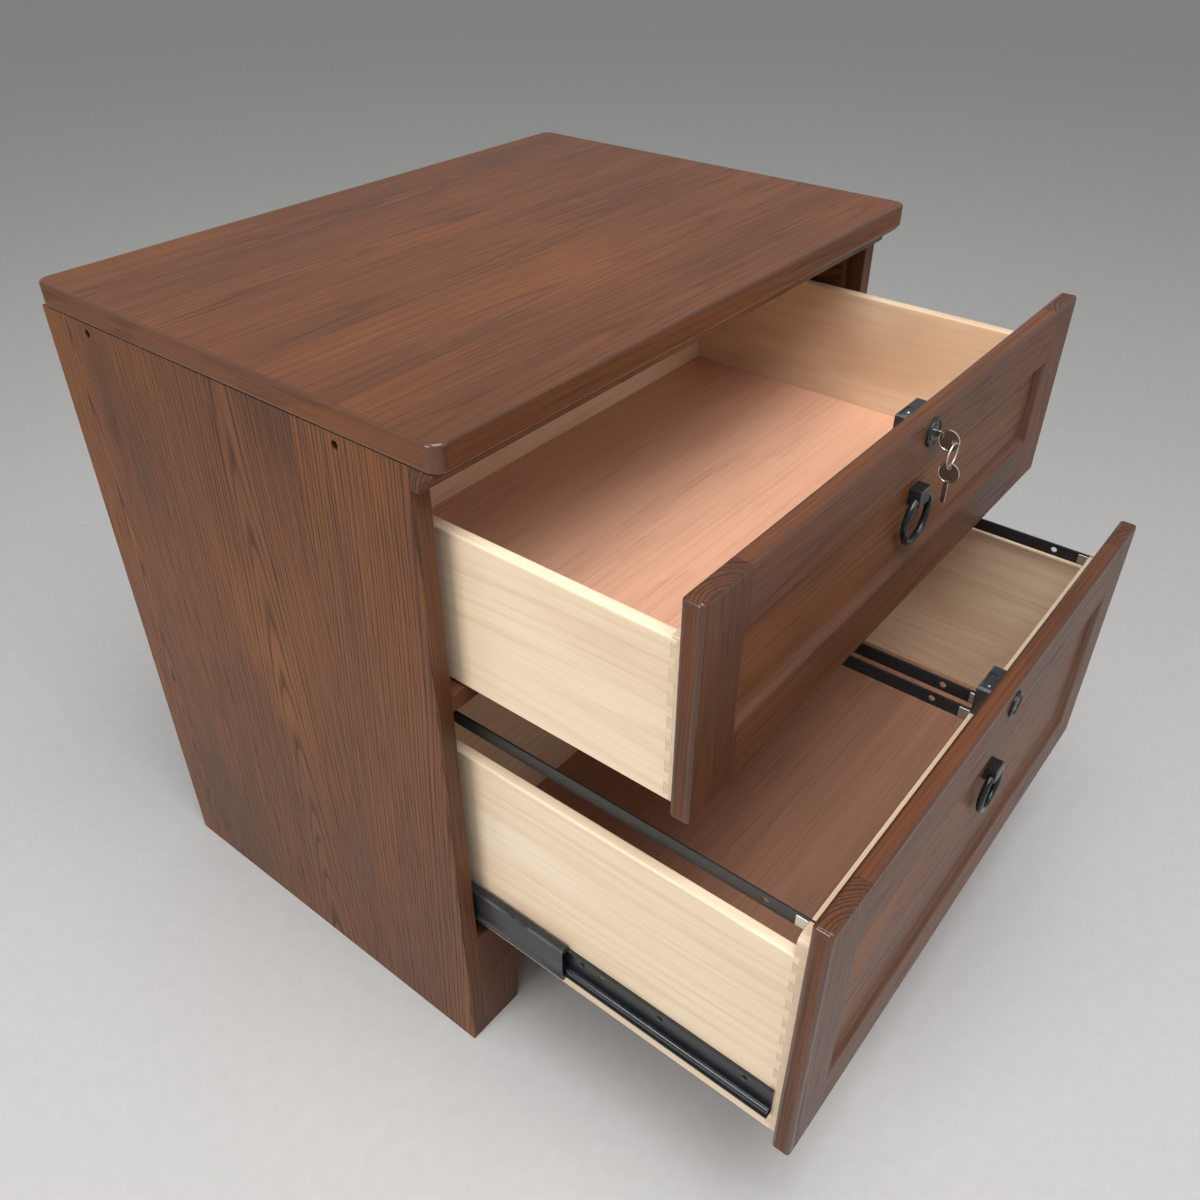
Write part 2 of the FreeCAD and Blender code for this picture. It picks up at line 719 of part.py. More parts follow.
def make_pull(d):
    """A block on the panel with a ring that swings on a pin through it."""
    pin_at = (f"{d}_pull_pin_plane", f"{d}_pull_pin_height")
    block = eased_board(
        d + "_pull_block", ("pull_block_width", "pull_block_depth", "pull_block_height"),
        ("-pull_block_width / 2", f"{d}_panel_front - pull_block_depth",
         f"{d}_pull_height - pull_block_height / 2"),
        [("pull_block_radius", [("front",)])])
    bore = rod(d + "_pull_bore", "x", "pin_bore_radius", "pull_block_width + 2 * overrun",
               ("-pull_block_width / 2 - overrun", *pin_at))
    keep(f"{d}_pull_mount", cut(f"{d}_pull_mount", block, bore))

    pin = rod(d + "_pull_pin", "x", "pull_bar_radius", "2 * pull_pin_half",
              ("-pull_pin_half", *pin_at))
    shoulders = []
    for sign in ("-", ""):
        ball = doc.addObject("Part::Sphere", d + "_pull_shoulder")
        bind(ball, {"Radius": "pull_bar_radius"})
        shoulders.append(place(ball, (sign + "pull_pin_half", *pin_at)))
    arc = doc.addObject("Part::Torus", d + "_pull_arc")
    arc.Placement.Rotation = ARC_FROM_BELOW
    bind(arc, {"Radius1": "pull_ring_radius", "Radius2": "pull_bar_radius",
               "Angle3": "90 + pull_arc_start"})
    place(arc, ("0", pin_at[0], f"{pin_at[1]} - pull_ring_drop"))
    keep(f"{d}_pull_ring", joined(f"{d}_pull_ring", pin, *shoulders, arc,
                                  mirrored(d + "_left_arc", arc)))


# Locks

def make_lock(d):
    """Housing in the box front, cylinder through the upper rail, bolt behind the cylinder."""
    plane = f"{d}_front_plane"
    bolt_bottom = f"{d}_front_top - housing_drop - bolt_sink - bolt_height"
    housing = eased_board(
        d + "_housing_stock", ("housing_width", "box_front_thick", f"{d}_housing_height"),
        (f"{d}_housing_offset - housing_width / 2", f"{d}_box_start", f"{d}_housing_bottom"),
        [("housing_radius", [("top", "left"), ("top", "right"), ("top", "back")])])
    barrel_hole = rod(d + "_barrel_hole", "y", "lock_bore_radius", "lock_barrel_reach + run_gap",
                      ("0", f"{d}_box_start", f"{d}_lock_height"))
    bolt_hole = board(
        d + "_bolt_hole",
        ("bolt_width + 2 * bolt_clearance", "bolt_thick + 2 * bolt_clearance",
         "bolt_height + bolt_sink + bolt_clearance"),
        ("-bolt_width / 2 - bolt_clearance", f"{d}_bolt_front - bolt_clearance",
         f"{bolt_bottom} - bolt_clearance"))
    keep(f"{d}_lock_housing", cut(f"{d}_lock_housing", housing, barrel_hole, bolt_hole))

    back_of_face = "-lock_face_gap"
    front_of_face = "-lock_face_gap - lock_face_height"
    end = "front_thick + lock_barrel_reach"
    cylinder = turned(d + "_lock_turning", (
        ("0", front_of_face), ("lock_face_radius - lock_face_bevel", front_of_face),
        ("lock_face_radius", f"{front_of_face} + lock_face_bevel"),
        ("lock_face_radius", back_of_face), ("lock_barrel_radius", back_of_face),
        ("lock_barrel_radius", end), ("0", end),
    ), ("0", plane, f"{d}_lock_height"))
    keyway = board(
        d + "_keyway", ("keyway_width", "keyway_depth + overrun", "keyway_height"),
        ("-keyway_width / 2", f"{plane} - lock_face_gap - lock_face_height - overrun",
         f"{d}_lock_height - keyway_height / 2"))
    keep(f"{d}_lock_cylinder", cut(f"{d}_lock_cylinder", cylinder, keyway))

    keep(f"{d}_lock_bolt", board(
        d + "_lock_bolt", ("bolt_width", "bolt_thick", "bolt_height"),
        ("-bolt_width / 2", f"{d}_bolt_front", bolt_bottom)))


def bow(name, at, hole_at):
    """A round key bow that stands across X, with a hole for the link."""
    disc = rod(name + "_disc", "x", "key_bow_radius", "key_bow_thick",
               ("-key_bow_thick / 2", *at))
    hole = rod(name + "_eye", "x", "key_hole_radius", "key_bow_thick + 2 * overrun",
               ("-key_bow_thick / 2 - overrun", *hole_at))
    return disc, hole


def make_keys():
    """The key in the upper lock, a spare key and the wire link between them."""
    face = "(top_front_plane - lock_face_gap - lock_face_height)"
    bow_y = f"({face} - key_bow_stand)"
    eye_y = f"({bow_y} - key_hole_offset)"
    height = "(top_lock_height - key_bow_drop)"

    disc, eye = bow("key", (bow_y, height), (eye_y, height))
    neck = board("key_neck", ("key_blade_thick", f"{face} + key_bite - {bow_y}", "key_neck_height"),
                 ("-key_blade_thick / 2", bow_y, "top_lock_height - key_neck_height / 2"))
    keep("top_lock_key", cut("top_lock_key", joined("key_whole", disc, neck), eye))

    link_top = f"({height} - key_hole_radius + link_wire_radius + link_gap)"
    link_middle = f"({link_top} - link_radius)"
    link = doc.addObject("Part::Torus", "key_link")
    link.Placement.Rotation = FreeCAD.Rotation(FreeCAD.Vector(1, 0, 0), 90)
    bind(link, {"Radius1": "link_radius", "Radius2": "link_wire_radius"})
    keep("key_link", place(link, ("0", eye_y, link_middle)))

    spare_eye = f"({link_middle} - link_radius + link_wire_radius + link_gap - key_hole_radius)"
    spare_bow = f"({spare_eye} - key_hole_offset)"
    disc, eye = bow("spare", (eye_y, spare_bow), (eye_y, spare_eye))
    blade = board("spare_blade", ("key_blade_thick", "key_blade_height", "key_blade_length"),
                  ("-key_blade_thick / 2", f"{eye_y} - key_blade_height / 2",
                   f"{spare_bow} - key_blade_length"))
    keep("spare_key", cut("spare_key", joined("spare_whole", disc, blade), eye))


# Slides of the lower drawer

def channel(name, start, width, web, flange, height, front, length):
    """A left-hand C section that opens to the right, along Y."""
    corners = (("0", "0"), (width, "0"), (width, flange), (web, flange),
               (web, f"{height} - {flange}"), (width, f"{height} - {flange}"),
               (width, height), ("0", height))
    return padded(name, "XZ_Plane", corners, length,
                  (f"-half_inside + {start}", f"{front} + {length}",
                   f"slide_centre - {height} / 2"))


def slide_screws():
    """Pan-head screws through the drawer member into the left side board."""
    screws = []
    face = "-box_half - slide_web"
    for index in range(SLIDE_SCREW_COUNT):
        y = f"low_box_start + slide_inner_setback + slide_screw_first + {index} * slide_screw_spacing"
        z = "slide_centre + slide_hole_rise"
        head = rod("slide_screw_head", "x", "slide_screw_head_radius", "slide_screw_head_height",
                   (f"{face} - slide_screw_head_height", y, z))
        shank = rod("slide_screw_shank", "x", "slide_screw_shank_radius",
                    "slide_web + slide_screw_bite", (face, y, z))
        screws.append(joined("slide_screw", head, shank))
    return group("left_slide_screws", *screws)


def make_slides(screws):
    """Cabinet, middle and drawer members. The races stand for the ball rows and their cages."""
    outer = channel("left_slide_outer", "0", "slide_outer_width", "slide_sheet", "slide_sheet",
                    "slide_height", "(front_plane + slide_outer_setback)", "slide_outer_length")
    middle = channel("left_slide_middle", "slide_middle_start", "slide_middle_width",
                     "slide_web", "slide_race", "slide_middle_height", "slide_middle_front",
                     "slide_middle_length")

    inner = doc.addObject("PartDesign::Body", "slide_inner_stock")
    web = "slide_inner_width - slide_web"
    pad = inner.newObject("PartDesign::Pad", "slide_inner_pad")
    pad.Profile = outline(inner, "XZ_Plane", (
        ("0", "0"), ("slide_inner_width", "0"), ("slide_inner_width", "slide_inner_height"),
        ("0", "slide_inner_height"), ("0", "slide_inner_height - slide_web"),
        (web, "slide_inner_height - slide_web"), (web, "slide_web"), ("0", "slide_web")))
    bind(pad, {"Length": "slide_inner_length"})
    place(inner, ("-box_half - slide_inner_width",
                  "low_box_start + slide_inner_setback + slide_inner_length",
                  "slide_centre - slide_inner_height / 2"))
    slot = board("slide_slot", ("slide_inner_width", "slide_slot_length", "slide_slot_height"), (
        "-box_half - slide_inner_width",
        "low_box_start + slide_inner_setback + slide_slot_start",
        "slide_centre + slide_hole_rise - slide_slot_height / 2"))
    inner = cut("left_slide_inner", inner, screws, slot)
    for name, left in (("slide_outer", outer), ("slide_middle", middle), ("slide_inner", inner)):
        keep("left_" + name, left)
        keep("right_" + name, mirrored("right_" + name, left))
    keep("slide_screws", group("slide_screws", screws, mirrored("right_slide_screws", screws)))


# Hanging-file rails

def hanging_rail(name, x):
    """A flat steel strip on edge, let into the box front and back, with a hole near its front."""
    front = "low_box_start + box_front_thick - hanging_rail_seat"
    length = "box_length - box_front_thick - box_side_thick + 2 * hanging_rail_seat"
    strip = board(name + "_strip", ("hanging_rail_thick", length, "hanging_rail_height"),
                  (f"{x} - hanging_rail_thick / 2", front, "hanging_rail_bottom"))
    hole = rod(name + "_hole", "x", "hanging_rail_hole_radius", "hanging_rail_thick + 2 * overrun",
               (f"{x} - hanging_rail_thick / 2 - overrun",
                "low_box_start + box_front_thick + hanging_rail_hole_setback",
                "hanging_rail_top - hanging_rail_height / 2"))
    return cut(name, strip, hole)


def clip(name, x, front):
    """A bent plate on a rail's left: a foot on the board and an arm along the rail."""
    arm_side = f"{x} - hanging_rail_thick / 2"
    if front:
        foot_at = arm_at = "low_box_start + box_front_thick"
    else:
        foot_at = "low_box_end - box_side_thick - clip_thick"
        arm_at = "low_box_end - box_side_thick - clip_arm"
    foot = board(name + "_foot", ("clip_foot", "clip_thick", "clip_height"),
                 (f"{arm_side} - clip_foot", foot_at, "clip_bottom"))
    arm = board(name + "_arm", ("clip_thick", "clip_arm", "clip_height"),
                (f"{arm_side} - clip_thick", arm_at, "clip_bottom"))
    return joined(name, foot, arm)


def make_hanging_rails():
    """Four rails; the inner pair and the outer pair carry letter files between them."""
    places = ("-hanging_rail_far", "-hanging_rail_near", "hanging_rail_near", "hanging_rail_far")
    rails = [hanging_rail(f"hanging_rail_{i}", x) for i, x in enumerate(places)]
    whole = keep("hanging_rails", group("hanging_rails", *rails))
    clips = []
    for front in (True, False):
        for x in places:
            clips.append(clip("clip", x, front))
    keep("rail_clips", group("rail_clips", *clips))
    return whole


def write_steps():
    """Check every object and write each node's STEP file."""
    doc.recompute()
    for item in doc.Objects:
        if "Invalid" in item.State or "Error" in item.State:
            raise RuntimeError(f"{item.Label} is in state {item.State}")
    os.makedirs("parts", exist_ok=True)
    for item in nodes:
        shape = item.Shape
        if shape.isNull() or not shape.isValid() or not shape.Solids:
            raise RuntimeError(f"{item.Label} has no valid solid")
        shape.exportStep(os.path.join("parts", item.Label + ".step"))
    print(len(nodes), "nodes written")


fill_sheet()
make_slab()
make_sides()
make_cove()
make_rails()
make_feet()
make_back()
make_running_gear()
make_front("top")
make_box("top")
low_screws = slide_screws()
low_rails = make_hanging_rails()
make_front("low")
make_box("low", side_tools=[low_screws], end_tools=[low_rails])
for drawer in ("top", "low"):
    make_pull(drawer)
    make_lock(drawer)
make_keys()
make_slides(low_screws)
write_steps()
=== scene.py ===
# %% [markdown]
# # A wide filing cabinet with two drawers
# The real piece is a low office cabinet of ash, stained dark, with pale drawer boxes, black
# slides and black ring pulls. Its measured model is loaded first and never changed. Each visible
# node is then dressed: a new piece is modelled in the same place, rides on the same body and
# stands for that node, or the node stays and only gets a better finish.

# %% Load the measured model
import math
import random

import bmesh
import bpy
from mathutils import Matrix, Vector


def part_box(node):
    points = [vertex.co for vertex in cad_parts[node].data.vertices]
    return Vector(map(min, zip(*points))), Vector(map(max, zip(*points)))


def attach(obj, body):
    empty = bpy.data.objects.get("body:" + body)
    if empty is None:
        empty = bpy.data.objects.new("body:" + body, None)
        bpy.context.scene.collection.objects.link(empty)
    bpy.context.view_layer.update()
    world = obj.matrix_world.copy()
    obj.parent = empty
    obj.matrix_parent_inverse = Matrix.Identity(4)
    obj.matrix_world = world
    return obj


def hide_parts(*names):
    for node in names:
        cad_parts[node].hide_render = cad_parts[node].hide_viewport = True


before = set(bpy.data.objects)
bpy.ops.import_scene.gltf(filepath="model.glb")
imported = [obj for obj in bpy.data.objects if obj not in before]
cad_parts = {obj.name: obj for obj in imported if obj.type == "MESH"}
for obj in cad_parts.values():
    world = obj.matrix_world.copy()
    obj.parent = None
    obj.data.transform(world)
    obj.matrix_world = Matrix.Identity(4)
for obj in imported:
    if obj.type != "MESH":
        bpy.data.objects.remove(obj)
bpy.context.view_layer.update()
MM = 0.001
chance = random.Random(7)

# %% [markdown]
# ## Camera
# A picture is only comparable with the real thing when the camera stands where the photographer
# stood. Place, turn and lens length were fitted to the straight edges of the cabinet.

# %% Place the camera
bpy.ops.object.camera_add(location=(-0.8419, -0.6144, 1.1438),
                          rotation=(math.radians(53.82), 0, math.radians(-51.42)))
camera = bpy.context.object
camera.data.lens = 32.35
camera.data.shift_x = 0.0024
camera.data.shift_y = -0.0018
camera.data.clip_start = 0.01
bpy.context.scene.camera = camera
print("camera", [round(v, 3) for v in camera.location], "lens", camera.data.lens)

# %% [markdown]
# ## Light
# A large lamp overhead, a weaker one by the camera's left and a faint one in front give the soft,
# even light of a studio. The world adds a little from everywhere, so that no side falls into
# black.

# %% Hang the lamps
def lamp(name, place, aim, size, watts):
    """A square soft lamp that looks at a point."""
    bpy.ops.object.light_add(type="AREA", location=place)
    light = bpy.context.object
    light.name = name
    light.rotation_euler = (Vector(aim) - Vector(place)).to_track_quat("-Z", "Y").to_euler()
    light.data.size = size
    light.data.energy = watts


MIDDLE = (0, 0, 0.4)
lamp("overhead_lamp", (-0.6, -0.8, 2.9), MIDDLE, 1.8, 74)
lamp("side_lamp", (-3.0, 0.3, 1.7), MIDDLE, 1.2, 43)
lamp("front_lamp", (0.8, -3.2, 1.9), MIDDLE, 1.6, 16)

world = bpy.context.scene.world or bpy.data.worlds.new("Studio")
bpy.context.scene.world = world
world.use_nodes = True
sky = world.node_tree.nodes["Background"]
sky.inputs["Color"].default_value = (0.975, 0.985, 1.0, 1)
sky.inputs["Strength"].default_value = 0.38
bpy.context.scene.view_settings.view_transform = "Standard"

# %% [markdown]
# ## Small tools for node trees
# A material is a small program. These helpers add one node each, so that a recipe below reads
# like a sum: a value is either a plain number or the output of another node.

# %% Node helpers
def node(tree, kind, **settings):
    new = tree.nodes.new(kind)
    for name, value in settings.items():
        setattr(new, name, value)
    return new


def feed(tree, socket, value):
    """Plug a socket into another, or write a plain value on it."""
    if isinstance(value, bpy.types.NodeSocket):
        tree.links.new(value, socket)
    else:
        socket.default_value = value


def calc(tree, operation, *values):
    new = node(tree, "ShaderNodeMath", operation=operation)
    for socket, value in zip(new.inputs, values):
        feed(tree, socket, value)
    return new.outputs[0]


def ease(tree, value, low, high, to_low=0.0, to_high=1.0):
    """Turn a range of values softly into another."""
    new = node(tree, "ShaderNodeMapRange", interpolation_type="SMOOTHSTEP")
    for name, item in (("Value", value), ("From Min", low), ("From Max", high),
                       ("To Min", to_low), ("To Max", to_high)):
        feed(tree, new.inputs[name], item)
    return new.outputs["Result"]


def mix(tree, share, first, second):
    """Two colours, the second by its share."""
    new = node(tree, "ShaderNodeMix", data_type="RGBA")
    for index, value in ((0, share), (6, first), (7, second)):
        feed(tree, new.inputs[index], value)
    return new.outputs[2]


def join(tree, x, y, z):
    new = node(tree, "ShaderNodeCombineXYZ")
    for socket, value in zip(new.inputs, (x, y, z)):
        feed(tree, socket, value)
    return new.outputs[0]


def split(tree, vector):
    new = node(tree, "ShaderNodeSeparateXYZ")
    feed(tree, new.inputs[0], vector)
    return new.outputs


def cloud(tree, vector, scale, detail, output="Fac"):
    """Soft noise through space."""
    new = node(tree, "ShaderNodeTexNoise")
    feed(tree, new.inputs["Vector"], vector)
    feed(tree, new.inputs["Scale"], scale)
    feed(tree, new.inputs["Detail"], detail)
    return new.outputs[output]


def stretched(tree, parts, x, y, z):
    """A place in space, each of its directions multiplied."""
    return join(tree, *[calc(tree, "MULTIPLY", part, by) for part, by in zip(parts, (x, y, z))])


def new_group(name, inputs, outputs):
    """An empty shader group with its sockets."""
    tree = bpy.data.node_groups.new(name, "ShaderNodeTree")
    for label, kind, value in inputs:
        socket = tree.interface.new_socket(label, in_out="INPUT", socket_type=kind)
        if value is not None:
            socket.default_value = value
    for label in outputs:
        tree.interface.new_socket(label, in_out="OUTPUT", socket_type="NodeSocketFloat")
    return tree, node(tree, "NodeGroupInput").outputs, node(tree, "NodeGroupOutput").inputs


# %% [markdown]
# ## The grain of wood
# A board is a slice of a trunk. The group below is told where a point lies in its tree: x runs
# along the trunk, y and z away from the pith. Distance from the pith, bent by slow noise, gives
# the year rings, and so arches on a face, straight lines on an edge and arcs on a sawn end, all
# from one recipe. A flat image of grain could not turn the corner. Wide panels are glued from
# several boards, so the group can cut its space into strips, each from another tree.

# %% Wood grain group
FLOAT = "NodeSocketFloat"
VECTOR = "NodeSocketVector"
ONE_BOARD = 10.0
wood_grain, given, out = new_group(
    "Wood grain",
    [("Place", VECTOR, None), ("Board Width", FLOAT, ONE_BOARD), ("Ring Gap", FLOAT, 0.005),
     ("Pith Depth", FLOAT, 0.03), ("Taper", FLOAT, 0.02), ("Wander", FLOAT, 0.008),
     ("Fibre", FLOAT, 1.0)],
    ["Rings", "Pores", "Fibres", "Mottle", "Board", "Seam", "Height"])
tree = wood_grain
x, y, z = split(tree, given["Place"])
strip = calc(tree, "DIVIDE", y, given["Board Width"])
index = calc(tree, "ROUND", strip)
dice = node(tree, "ShaderNodeTexWhiteNoise", noise_dimensions="1D")
feed(tree, dice.inputs["W"], calc(tree, "ADD", index, 0.37))
first, second, third = split(tree, dice.outputs["Color"])
within = calc(tree, "SUBTRACT", y, calc(tree, "MULTIPLY", index, given["Board Width"]))
own_x = calc(tree, "MULTIPLY_ADD", second, 9.0, x)
own_y = calc(tree, "MULTIPLY_ADD", calc(tree, "SUBTRACT", first, 0.5), 0.05, within)
own_z = calc(tree, "MULTIPLY_ADD", calc(tree, "ADD", third, 0.6), given["Pith Depth"], z)
own = (own_x, own_y, own_z)
slow = split(tree, cloud(tree, stretched(tree, own, 1.7, 9, 9), 1.0, 2.0, "Color"))
bent = []
for part, drift in ((own_y, slow[0]), (own_z, slow[1])):
    swing = calc(tree, "MULTIPLY", calc(tree, "SUBTRACT", drift, 0.5), given["Wander"])
    bent.append(calc(tree, "MULTIPLY_ADD", swing, 2.0, part))
square = calc(tree, "ADD", calc(tree, "MULTIPLY", bent[0], bent[0]),
              calc(tree, "MULTIPLY", bent[1], bent[1]))
radius = calc(tree, "MULTIPLY_ADD", own_x, given["Taper"], calc(tree, "SQRT", square))
years = calc(tree, "DIVIDE", radius, given["Ring Gap"])
uneven = cloud(tree, join(tree, calc(tree, "MULTIPLY", years, 0.4), index, 0.0), 1.0, 1.0)
years = calc(tree, "MULTIPLY_ADD", uneven, 2.2, years)
part_year = calc(tree, "FRACT", years)
rings = calc(tree, "MULTIPLY", ease(tree, part_year, 0.0, 0.12),
             ease(tree, part_year, 0.16, 0.62, 1.0, 0.0))
fine = calc(tree, "MULTIPLY", given["Fibre"], 1000.0)
streak = cloud(tree, stretched(tree, own, 14, fine, fine), 1.0, 2.0)
gathered = calc(tree, "MULTIPLY_ADD", rings, 0.15, streak)
pores = ease(tree, gathered, 0.57, 0.73)
fibres = cloud(tree, stretched(tree, own, 3, 260, 260), 1.0, 3.0)
mottle = cloud(tree, stretched(tree, own, 2.6, 7, 7), 1.0, 3.0)
rim = calc(tree, "SUBTRACT", 0.5, calc(tree, "ABSOLUTE", calc(tree, "SUBTRACT", strip, index)))
rim = calc(tree, "MULTIPLY", rim, given["Board Width"])
sunk = calc(tree, "MULTIPLY_ADD", pores, -0.8, calc(tree, "MULTIPLY", rings, 0.35))
for label, value in (("Rings", rings), ("Pores", pores), ("Fibres", fibres),
                     ("Mottle", mottle), ("Board", third),
                     ("Seam", ease(tree, rim, 0.0, 0.0007, 1.0, 0.0)), ("Height", sunk)):
    feed(tree, out[label], value)
print("wood grain nodes", len(tree.nodes))

# %% [markdown]
# ## Dust and scuffs
# Nothing in use is clean. This group gives a slow cloud, fine specks and thin scratches from a
# place in space. Metal uses it to break up its gloss and paint to lose a little of its black.

# %% Scuff group
scuffs, given, out = new_group(
    "Scuffs", [("Place", VECTOR, None)], ["Cloud", "Specks", "Scratches"])
tree = scuffs
parts = split(tree, given["Place"])
feed(tree, out["Cloud"], cloud(tree, given["Place"], 30.0, 4.0))
grit = cloud(tree, given["Place"], 900.0, 1.0)
feed(tree, out["Specks"], ease(tree, grit, 0.66, 0.78))
lines = cloud(tree, stretched(tree, parts, 900, 30, 900), 1.0, 1.0)
feed(tree, out["Scratches"], ease(tree, lines, 0.68, 0.76))
print("scuff nodes", len(tree.nodes))

# %% [markdown]
# ## Finishes
# Each finish is one Principled shader. What changes over the surface goes through the groups;
# what doesn't is written on the shader itself.


def new_finish(name, slot, **plain):
    """A material with its shader. slot, the record's slot that it belongs to, is not used."""
    material = bpy.data.materials.new(name)
    material.use_nodes = True
    tree = material.node_tree
    shader = tree.nodes["Principled BSDF"]
    for label, value in plain.items():
        shader.inputs[label.replace("_", " ")].default_value = value
    return material, tree, shader.inputs


def use(tree, group, **values):
    new = node(tree, "ShaderNodeGroup", node_tree=group)
    for label, value in values.items():
        feed(tree, new.inputs[label.replace("_", " ")], value)
    return new.outputs


def carried(tree, name, output="Vector"):
    """What a mesh carries under a name: its place in the tree, or how near an edge it is."""
    return node(tree, "ShaderNodeAttribute", attribute_name=name).outputs[output]


def raised(tree, height, depth, strength):
    """Small heights in the surface, in metres."""
    bump = node(tree, "ShaderNodeBump")
    for label, value in (("Height", height), ("Distance", depth), ("Strength", strength)):
        feed(tree, bump.inputs[label], value)
    return bump.outputs[0]


def turned_place(tree, turn):
    """Object coordinates, turned so that x lies along the grain."""
    mapping = node(tree, "ShaderNodeMapping")
    mapping.inputs["Rotation"].default_value = turn
    feed(tree, mapping.inputs["Vector"], node(tree, "ShaderNodeTexCoord").outputs["Object"])
    return mapping.outputs[0]


# %% [markdown]
# ### Dark stained ash
# Stain sinks into the open pores and the soft early wood, so the lines are nearly black and the
# hard late wood between them stays red-brown, with an orange glow where the panel was rubbed
# thin. A satin lacquer lies over it. Edges are rubbed, and dirt has settled beside them.

# %% Stained ash
def stained_ash(name, board_width, pith_depth, ring_gap, wander, glow, lines, warmth=1.0,
                pores=0.55, taper=0.02):
    """Stained wood. glow is the share of rubbed, lighter patches, lines that of the year rings."""
    material, tree, skin = new_finish(name, "dark_oak", Specular_IOR_Level=0.22,
                                      Coat_Roughness=0.14)
    wood = use(tree, wood_grain, Place=carried(tree, "grain"), Board_Width=board_width,
               Pith_Depth=pith_depth, Ring_Gap=ring_gap, Wander=wander, Taper=taper)
    edge = carried(tree, "edge", "Fac")
    end = carried(tree, "end", "Fac")
    deep = (0.050, 0.017, 0.008, 1)
    colour = mix(tree, ease(tree, wood["Fibres"], 0.3, 0.75),
                 (0.185 * warmth, 0.067 * warmth, 0.0225, 1),
                 (0.130 * warmth, 0.044 * warmth, 0.0155, 1))
    warm = ease(tree, wood["Mottle"], 0.46, 0.72, 0.0, glow)
    colour = mix(tree, warm, colour, (0.29 * warmth, 0.098 * warmth, 0.026, 1))
    shade = ease(tree, wood["Mottle"], 0.5, 0.28, 0.0, 0.55)
    colour = mix(tree, shade, colour, (0.062, 0.026, 0.011, 1))
    tint = ease(tree, wood["Board"], 0.0, 1.0, 0.0, 0.22)
    colour = mix(tree, tint, colour, (0.09, 0.030, 0.011, 1))
    colour = mix(tree, calc(tree, "MULTIPLY", wood["Rings"], lines), colour, deep)
    colour = mix(tree, calc(tree, "MULTIPLY", wood["Pores"], pores), colour,
                 (0.026, 0.010, 0.006, 1))
    sawn = calc(tree, "MULTIPLY", end, calc(tree, "MULTIPLY_ADD", wood["Rings"], 0.6, 0.12))
    colour = mix(tree, sawn, colour, (0.022, 0.009, 0.006, 1))
    seam = calc(tree, "MULTIPLY", wood["Seam"], 0.35)
    colour = mix(tree, seam, colour, (0.030, 0.012, 0.006, 1))
    colour = mix(tree, calc(tree, "MULTIPLY", edge, 0.4), colour, (0.045, 0.016, 0.008, 1))
    feed(tree, skin["Base Color"], colour)
    rough = calc(tree, "MULTIPLY_ADD", wood["Pores"], 0.2,
                 calc(tree, "MULTIPLY_ADD", wood["Mottle"], 0.2, 0.36))
    feed(tree, skin["Roughness"], rough)
    feed(tree, skin["Coat Weight"], calc(tree, "MULTIPLY_ADD", edge, 0.6, 0.12))
    feed(tree, skin["Normal"], raised(tree, wood["Height"], 0.00012, 0.7))
    return material


ash_slab = stained_ash("stained_ash_slab", board_width=0.11, pith_depth=0.02, ring_gap=0.0038,
                       wander=0.005, glow=0.45, lines=0.10, warmth=0.84, pores=0.27)
ash_side = stained_ash("stained_ash_side", board_width=0.24, pith_depth=0.022, ring_gap=0.0046,
                       wander=0.011, glow=0.6, lines=0.5, warmth=1.02, taper=0.055)
ash_board = stained_ash("stained_ash_board", board_width=ONE_BOARD, pith_depth=0.03,
                        ring_gap=0.0038, wander=0.005, glow=0.35, lines=0.08, warmth=0.80,
                        pores=0.28)
ash_panel = stained_ash("stained_ash_panel", board_width=0.20, pith_depth=0.03, ring_gap=0.0045,
                        wander=0.006, glow=0.9, lines=0.10, pores=0.28)

# %% [markdown]
# ### Pale wood of the drawer boxes
# Unstained, clear-lacquered softwood: cream, with wide tan rings, a few greyish streaks and
# darker swirls beside knots. The box fronts use a copy darkened all over, partly for their end
# grain and partly as painted shade.

# %% Pale wood
STRAIGHT = 0.026


def pale_wood(name, swirl=STRAIGHT, hidden_turn=None, shade=0.0):
    """Pale wood. A hidden measured node carries no grain, so its turn is given here."""
    material, tree, skin = new_finish(name, "pale_wood", Roughness=0.42, Coat_Weight=0.2,
                                      Coat_Roughness=0.25)
    place = carried(tree, "grain") if hidden_turn is None else turned_place(tree, hidden_turn)
    wood = use(tree, wood_grain, Place=place, Board_Width=ONE_BOARD if swirl == STRAIGHT else 0.21,
               Ring_Gap=0.016, Pith_Depth=0.012, Wander=swirl, Taper=0.05, Fibre=0.8)
    colour = mix(tree, calc(tree, "MULTIPLY", wood["Rings"], 0.13), (0.84, 0.665, 0.47, 1),
                 (0.58, 0.40, 0.24, 1))
    streak = ease(tree, wood["Fibres"], 0.42, 0.78, 0.0, 0.30)
    colour = mix(tree, streak, colour, (0.66, 0.47, 0.31, 1))
    low, high, most = (0.5, 0.76, 0.45) if swirl == STRAIGHT else (0.42, 0.66, 0.8)
    blotch = ease(tree, wood["Mottle"], low, high, 0.0, most)
    colour = mix(tree, blotch, colour, (0.60, 0.40, 0.24, 1))
    light = ease(tree, wood["Mottle"], 0.42, 0.25, 0.0, 0.6)
    colour = mix(tree, light, colour, (0.94, 0.81, 0.64, 1))
    colour = mix(tree, calc(tree, "MULTIPLY", wood["Pores"], 0.12), colour, (0.38, 0.22, 0.12, 1))
    # shade darkens the whole board evenly towards brown: painted shade, which also makes the pins'
    # end grain darker.
    colour = mix(tree, shade, colour, (0.36, 0.22, 0.12, 1))
    feed(tree, skin["Base Color"], colour)
    feed(tree, skin["Normal"], raised(tree, wood["Height"], 0.00008, 0.6))
    feed(tree, skin["Roughness"], calc(tree, "MULTIPLY_ADD", wood["Mottle"], 0.2, 0.34))
    return material


